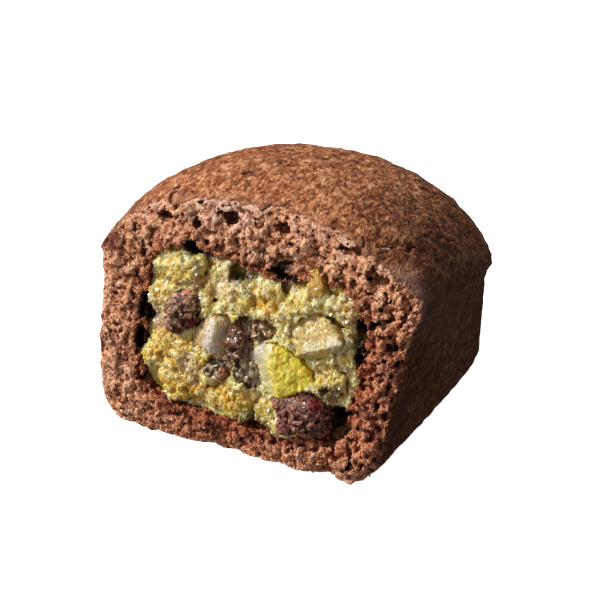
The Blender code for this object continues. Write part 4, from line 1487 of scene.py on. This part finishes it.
def make_chunks():
    """The fruit and the dark lumps that sit in the jam."""
    frost = (0.60, 0.53, 0.38)
    haze = (0.80, 0.68, 0.56)
    cream = (0.80, 0.68, 0.42)
    bright_veil = [(0.8, 11.2, -0.6, 3.4, frost), (2.2, 8.2, -0.6, 2.6, (0.70, 0.62, 0.30))]
    pale_veil = [(7.6, 12.9, -1.3, 1.3, cream), (9.6, 13.8, -1.2, 1.4, cream)]
    pale_veil += [(8.6, 11.9, -0.2, 2.0, (0.96, 0.72, 0.16))]
    clear_veil = [(-3.3, 12.3, -1.0, 1.4, haze), (-3.5, 10.8, -1.0, 1.3, haze)]
    yellow = fruit_finish("bright_pineapple", (0.93, 0.68, 0.03), (0.97, 0.82, 0.12), 0.5, 0.8, bright_veil)
    pale = fruit_finish("pale_pineapple", (0.56, 0.36, 0.08), (0.74, 0.55, 0.21), 0.5, 0.8, pale_veil)
    clear = fruit_finish("clear_pineapple", (0.60, 0.36, 0.14), (0.82, 0.58, 0.28), 0.8, 1.8, clear_veil)
    amber = fruit_finish("amber_peel", (0.50, 0.24, 0.02), (0.74, 0.46, 0.07), 0.5, 0.8)
    cut_fruit("bright_pineapple_block", BRIGHT_CORNERS, 31, 350, yellow, "bright_pineapple_chunk")
    cut_fruit("pale_pineapple_block", PALE_CORNERS, 33, 900, pale, "pale_pineapple_chunk")
    cut_fruit("clear_pineapple_block", CLEAR_CORNERS, 35, 900, clear, "clear_pineapple_chunk")
    cut_fruit("amber_peel_block", AMBER_CORNERS, 43, 200, amber, "amber_peel_piece")
    rust = (0.60, 0.16, 0.06)
    deep_red = (0.16, 0.018, 0.014)
    cocoa_edges = [(-9.2, 13.2, -0.6, 1.5, rust), (-6.9, 15.6, -0.4, 0.8, rust)]
    # The deep red at the lower right and bottom of the upper cocoa lump is painted shade.
    cocoa_edges += [(-5.9, 12.3, -0.6, 1.5, deep_red), (-8.0, 11.3, -0.6, 1.4, deep_red)]
    wine_edges = [(8.6, 7.4, -0.8, 1.3, (0.22, 0.012, 0.014)), (5.4, 5.0, -0.8, 1.6, deep_red)]
    bits = [(-1.6, 8.2, -0.6, 1.1, (0.34, 0.10, 0.03)), (1.9, 8.2, -0.6, 1.3, (0.36, 0.24, 0.14))]
    cocoa = dark_granules("cocoa_granules", (0.070, 0.022, 0.013), (0.90, 0.50, 0.31), 0.6, 0.1, cocoa_edges)
    wine = dark_granules("wine_granules", (0.040, 0.008, 0.006), (0.60, 0.24, 0.15), 0.55, 0.15, wine_edges)
    raisin = dark_granules("raisin_flesh", (0.045, 0.014, 0.006), (0.42, 0.170, 0.090), 0.15, 1.0)
    olive = dark_granules("olive_raisin", (0.070, 0.036, 0.012), (0.70, 0.48, 0.26), 0.2, 1.0, bits)
    wedge = dark_granules("raisin_wedge", (0.085, 0.042, 0.014), (0.78, 0.50, 0.26), 0.2, 0.9)
    for lump, material in zip(DARK_LUMPS, [cocoa, wine, raisin, olive, wedge, olive]):
        grown_ball(*lump, material)


def make_stage():
    """A plain pale floor and soft light from the front left."""
    bm = bmesh.new()
    bmesh.ops.create_grid(bm, x_segments=8, y_segments=8, size=3.0)
    floor = bpy.data.objects.new("pale_floor", mesh_of(bm, "pale_floor"))
    bpy.context.scene.collection.objects.link(floor)
    finish = Finish("pale_floor")
    white = (0.9, 0.9, 0.9, 1.0)
    glow = {"Emission_Color": white, "Emission_Strength": 1.08}
    floor.data.materials.append(finish.shade(white, 0.9, Specular_IOR_Level=0.1, **glow))
    floor.visible_diffuse = False
    floor.visible_glossy = False
    world = bpy.data.worlds.new("studio")
    bpy.context.scene.world = world
    world.use_nodes = True
    world.node_tree.nodes["Background"].inputs["Color"].default_value = (1.0, 0.99, 0.97, 1.0)
    world.node_tree.nodes["Background"].inputs["Strength"].default_value = 0.11
    for name, azimuth, elevation, strength, angle in STUDIO_LIGHTS:
        lamp = bpy.data.lights.new(name, "SUN")
        lamp.energy = strength
        lamp.angle = math.radians(angle)
        light = bpy.data.objects.new(name, lamp)
        light.rotation_euler = direction(azimuth, elevation).to_track_quat("Z", "Y").to_euler()
        bpy.context.scene.collection.objects.link(light)
    bpy.context.scene.view_settings.view_transform = "Standard"


def make_camera():
    right, up, back = camera_axes()
    lens = bpy.data.cameras.new("camera")
    lens.lens = CAMERA_LENS
    lens.sensor_width = CAMERA_SENSOR
    lens.clip_start = 0.01
    lens.clip_end = 20.0
    camera = bpy.data.objects.new("camera", lens)
    place = (Vector(LOOK_AT) + back * CAMERA_DISTANCE) * MM
    camera.matrix_world = Matrix.Translation(place) @ Matrix((right, up, back)).transposed().to_4x4()
    bpy.context.scene.collection.objects.link(camera)
    bpy.context.scene.camera = camera


make_camera()
loaf = Loaf()
make_skin(loaf, baked_skin())
make_crumb(loaf, torn_crumb())
make_jam(golden_jam(), jam_crystal())
make_chunks()
make_stage()
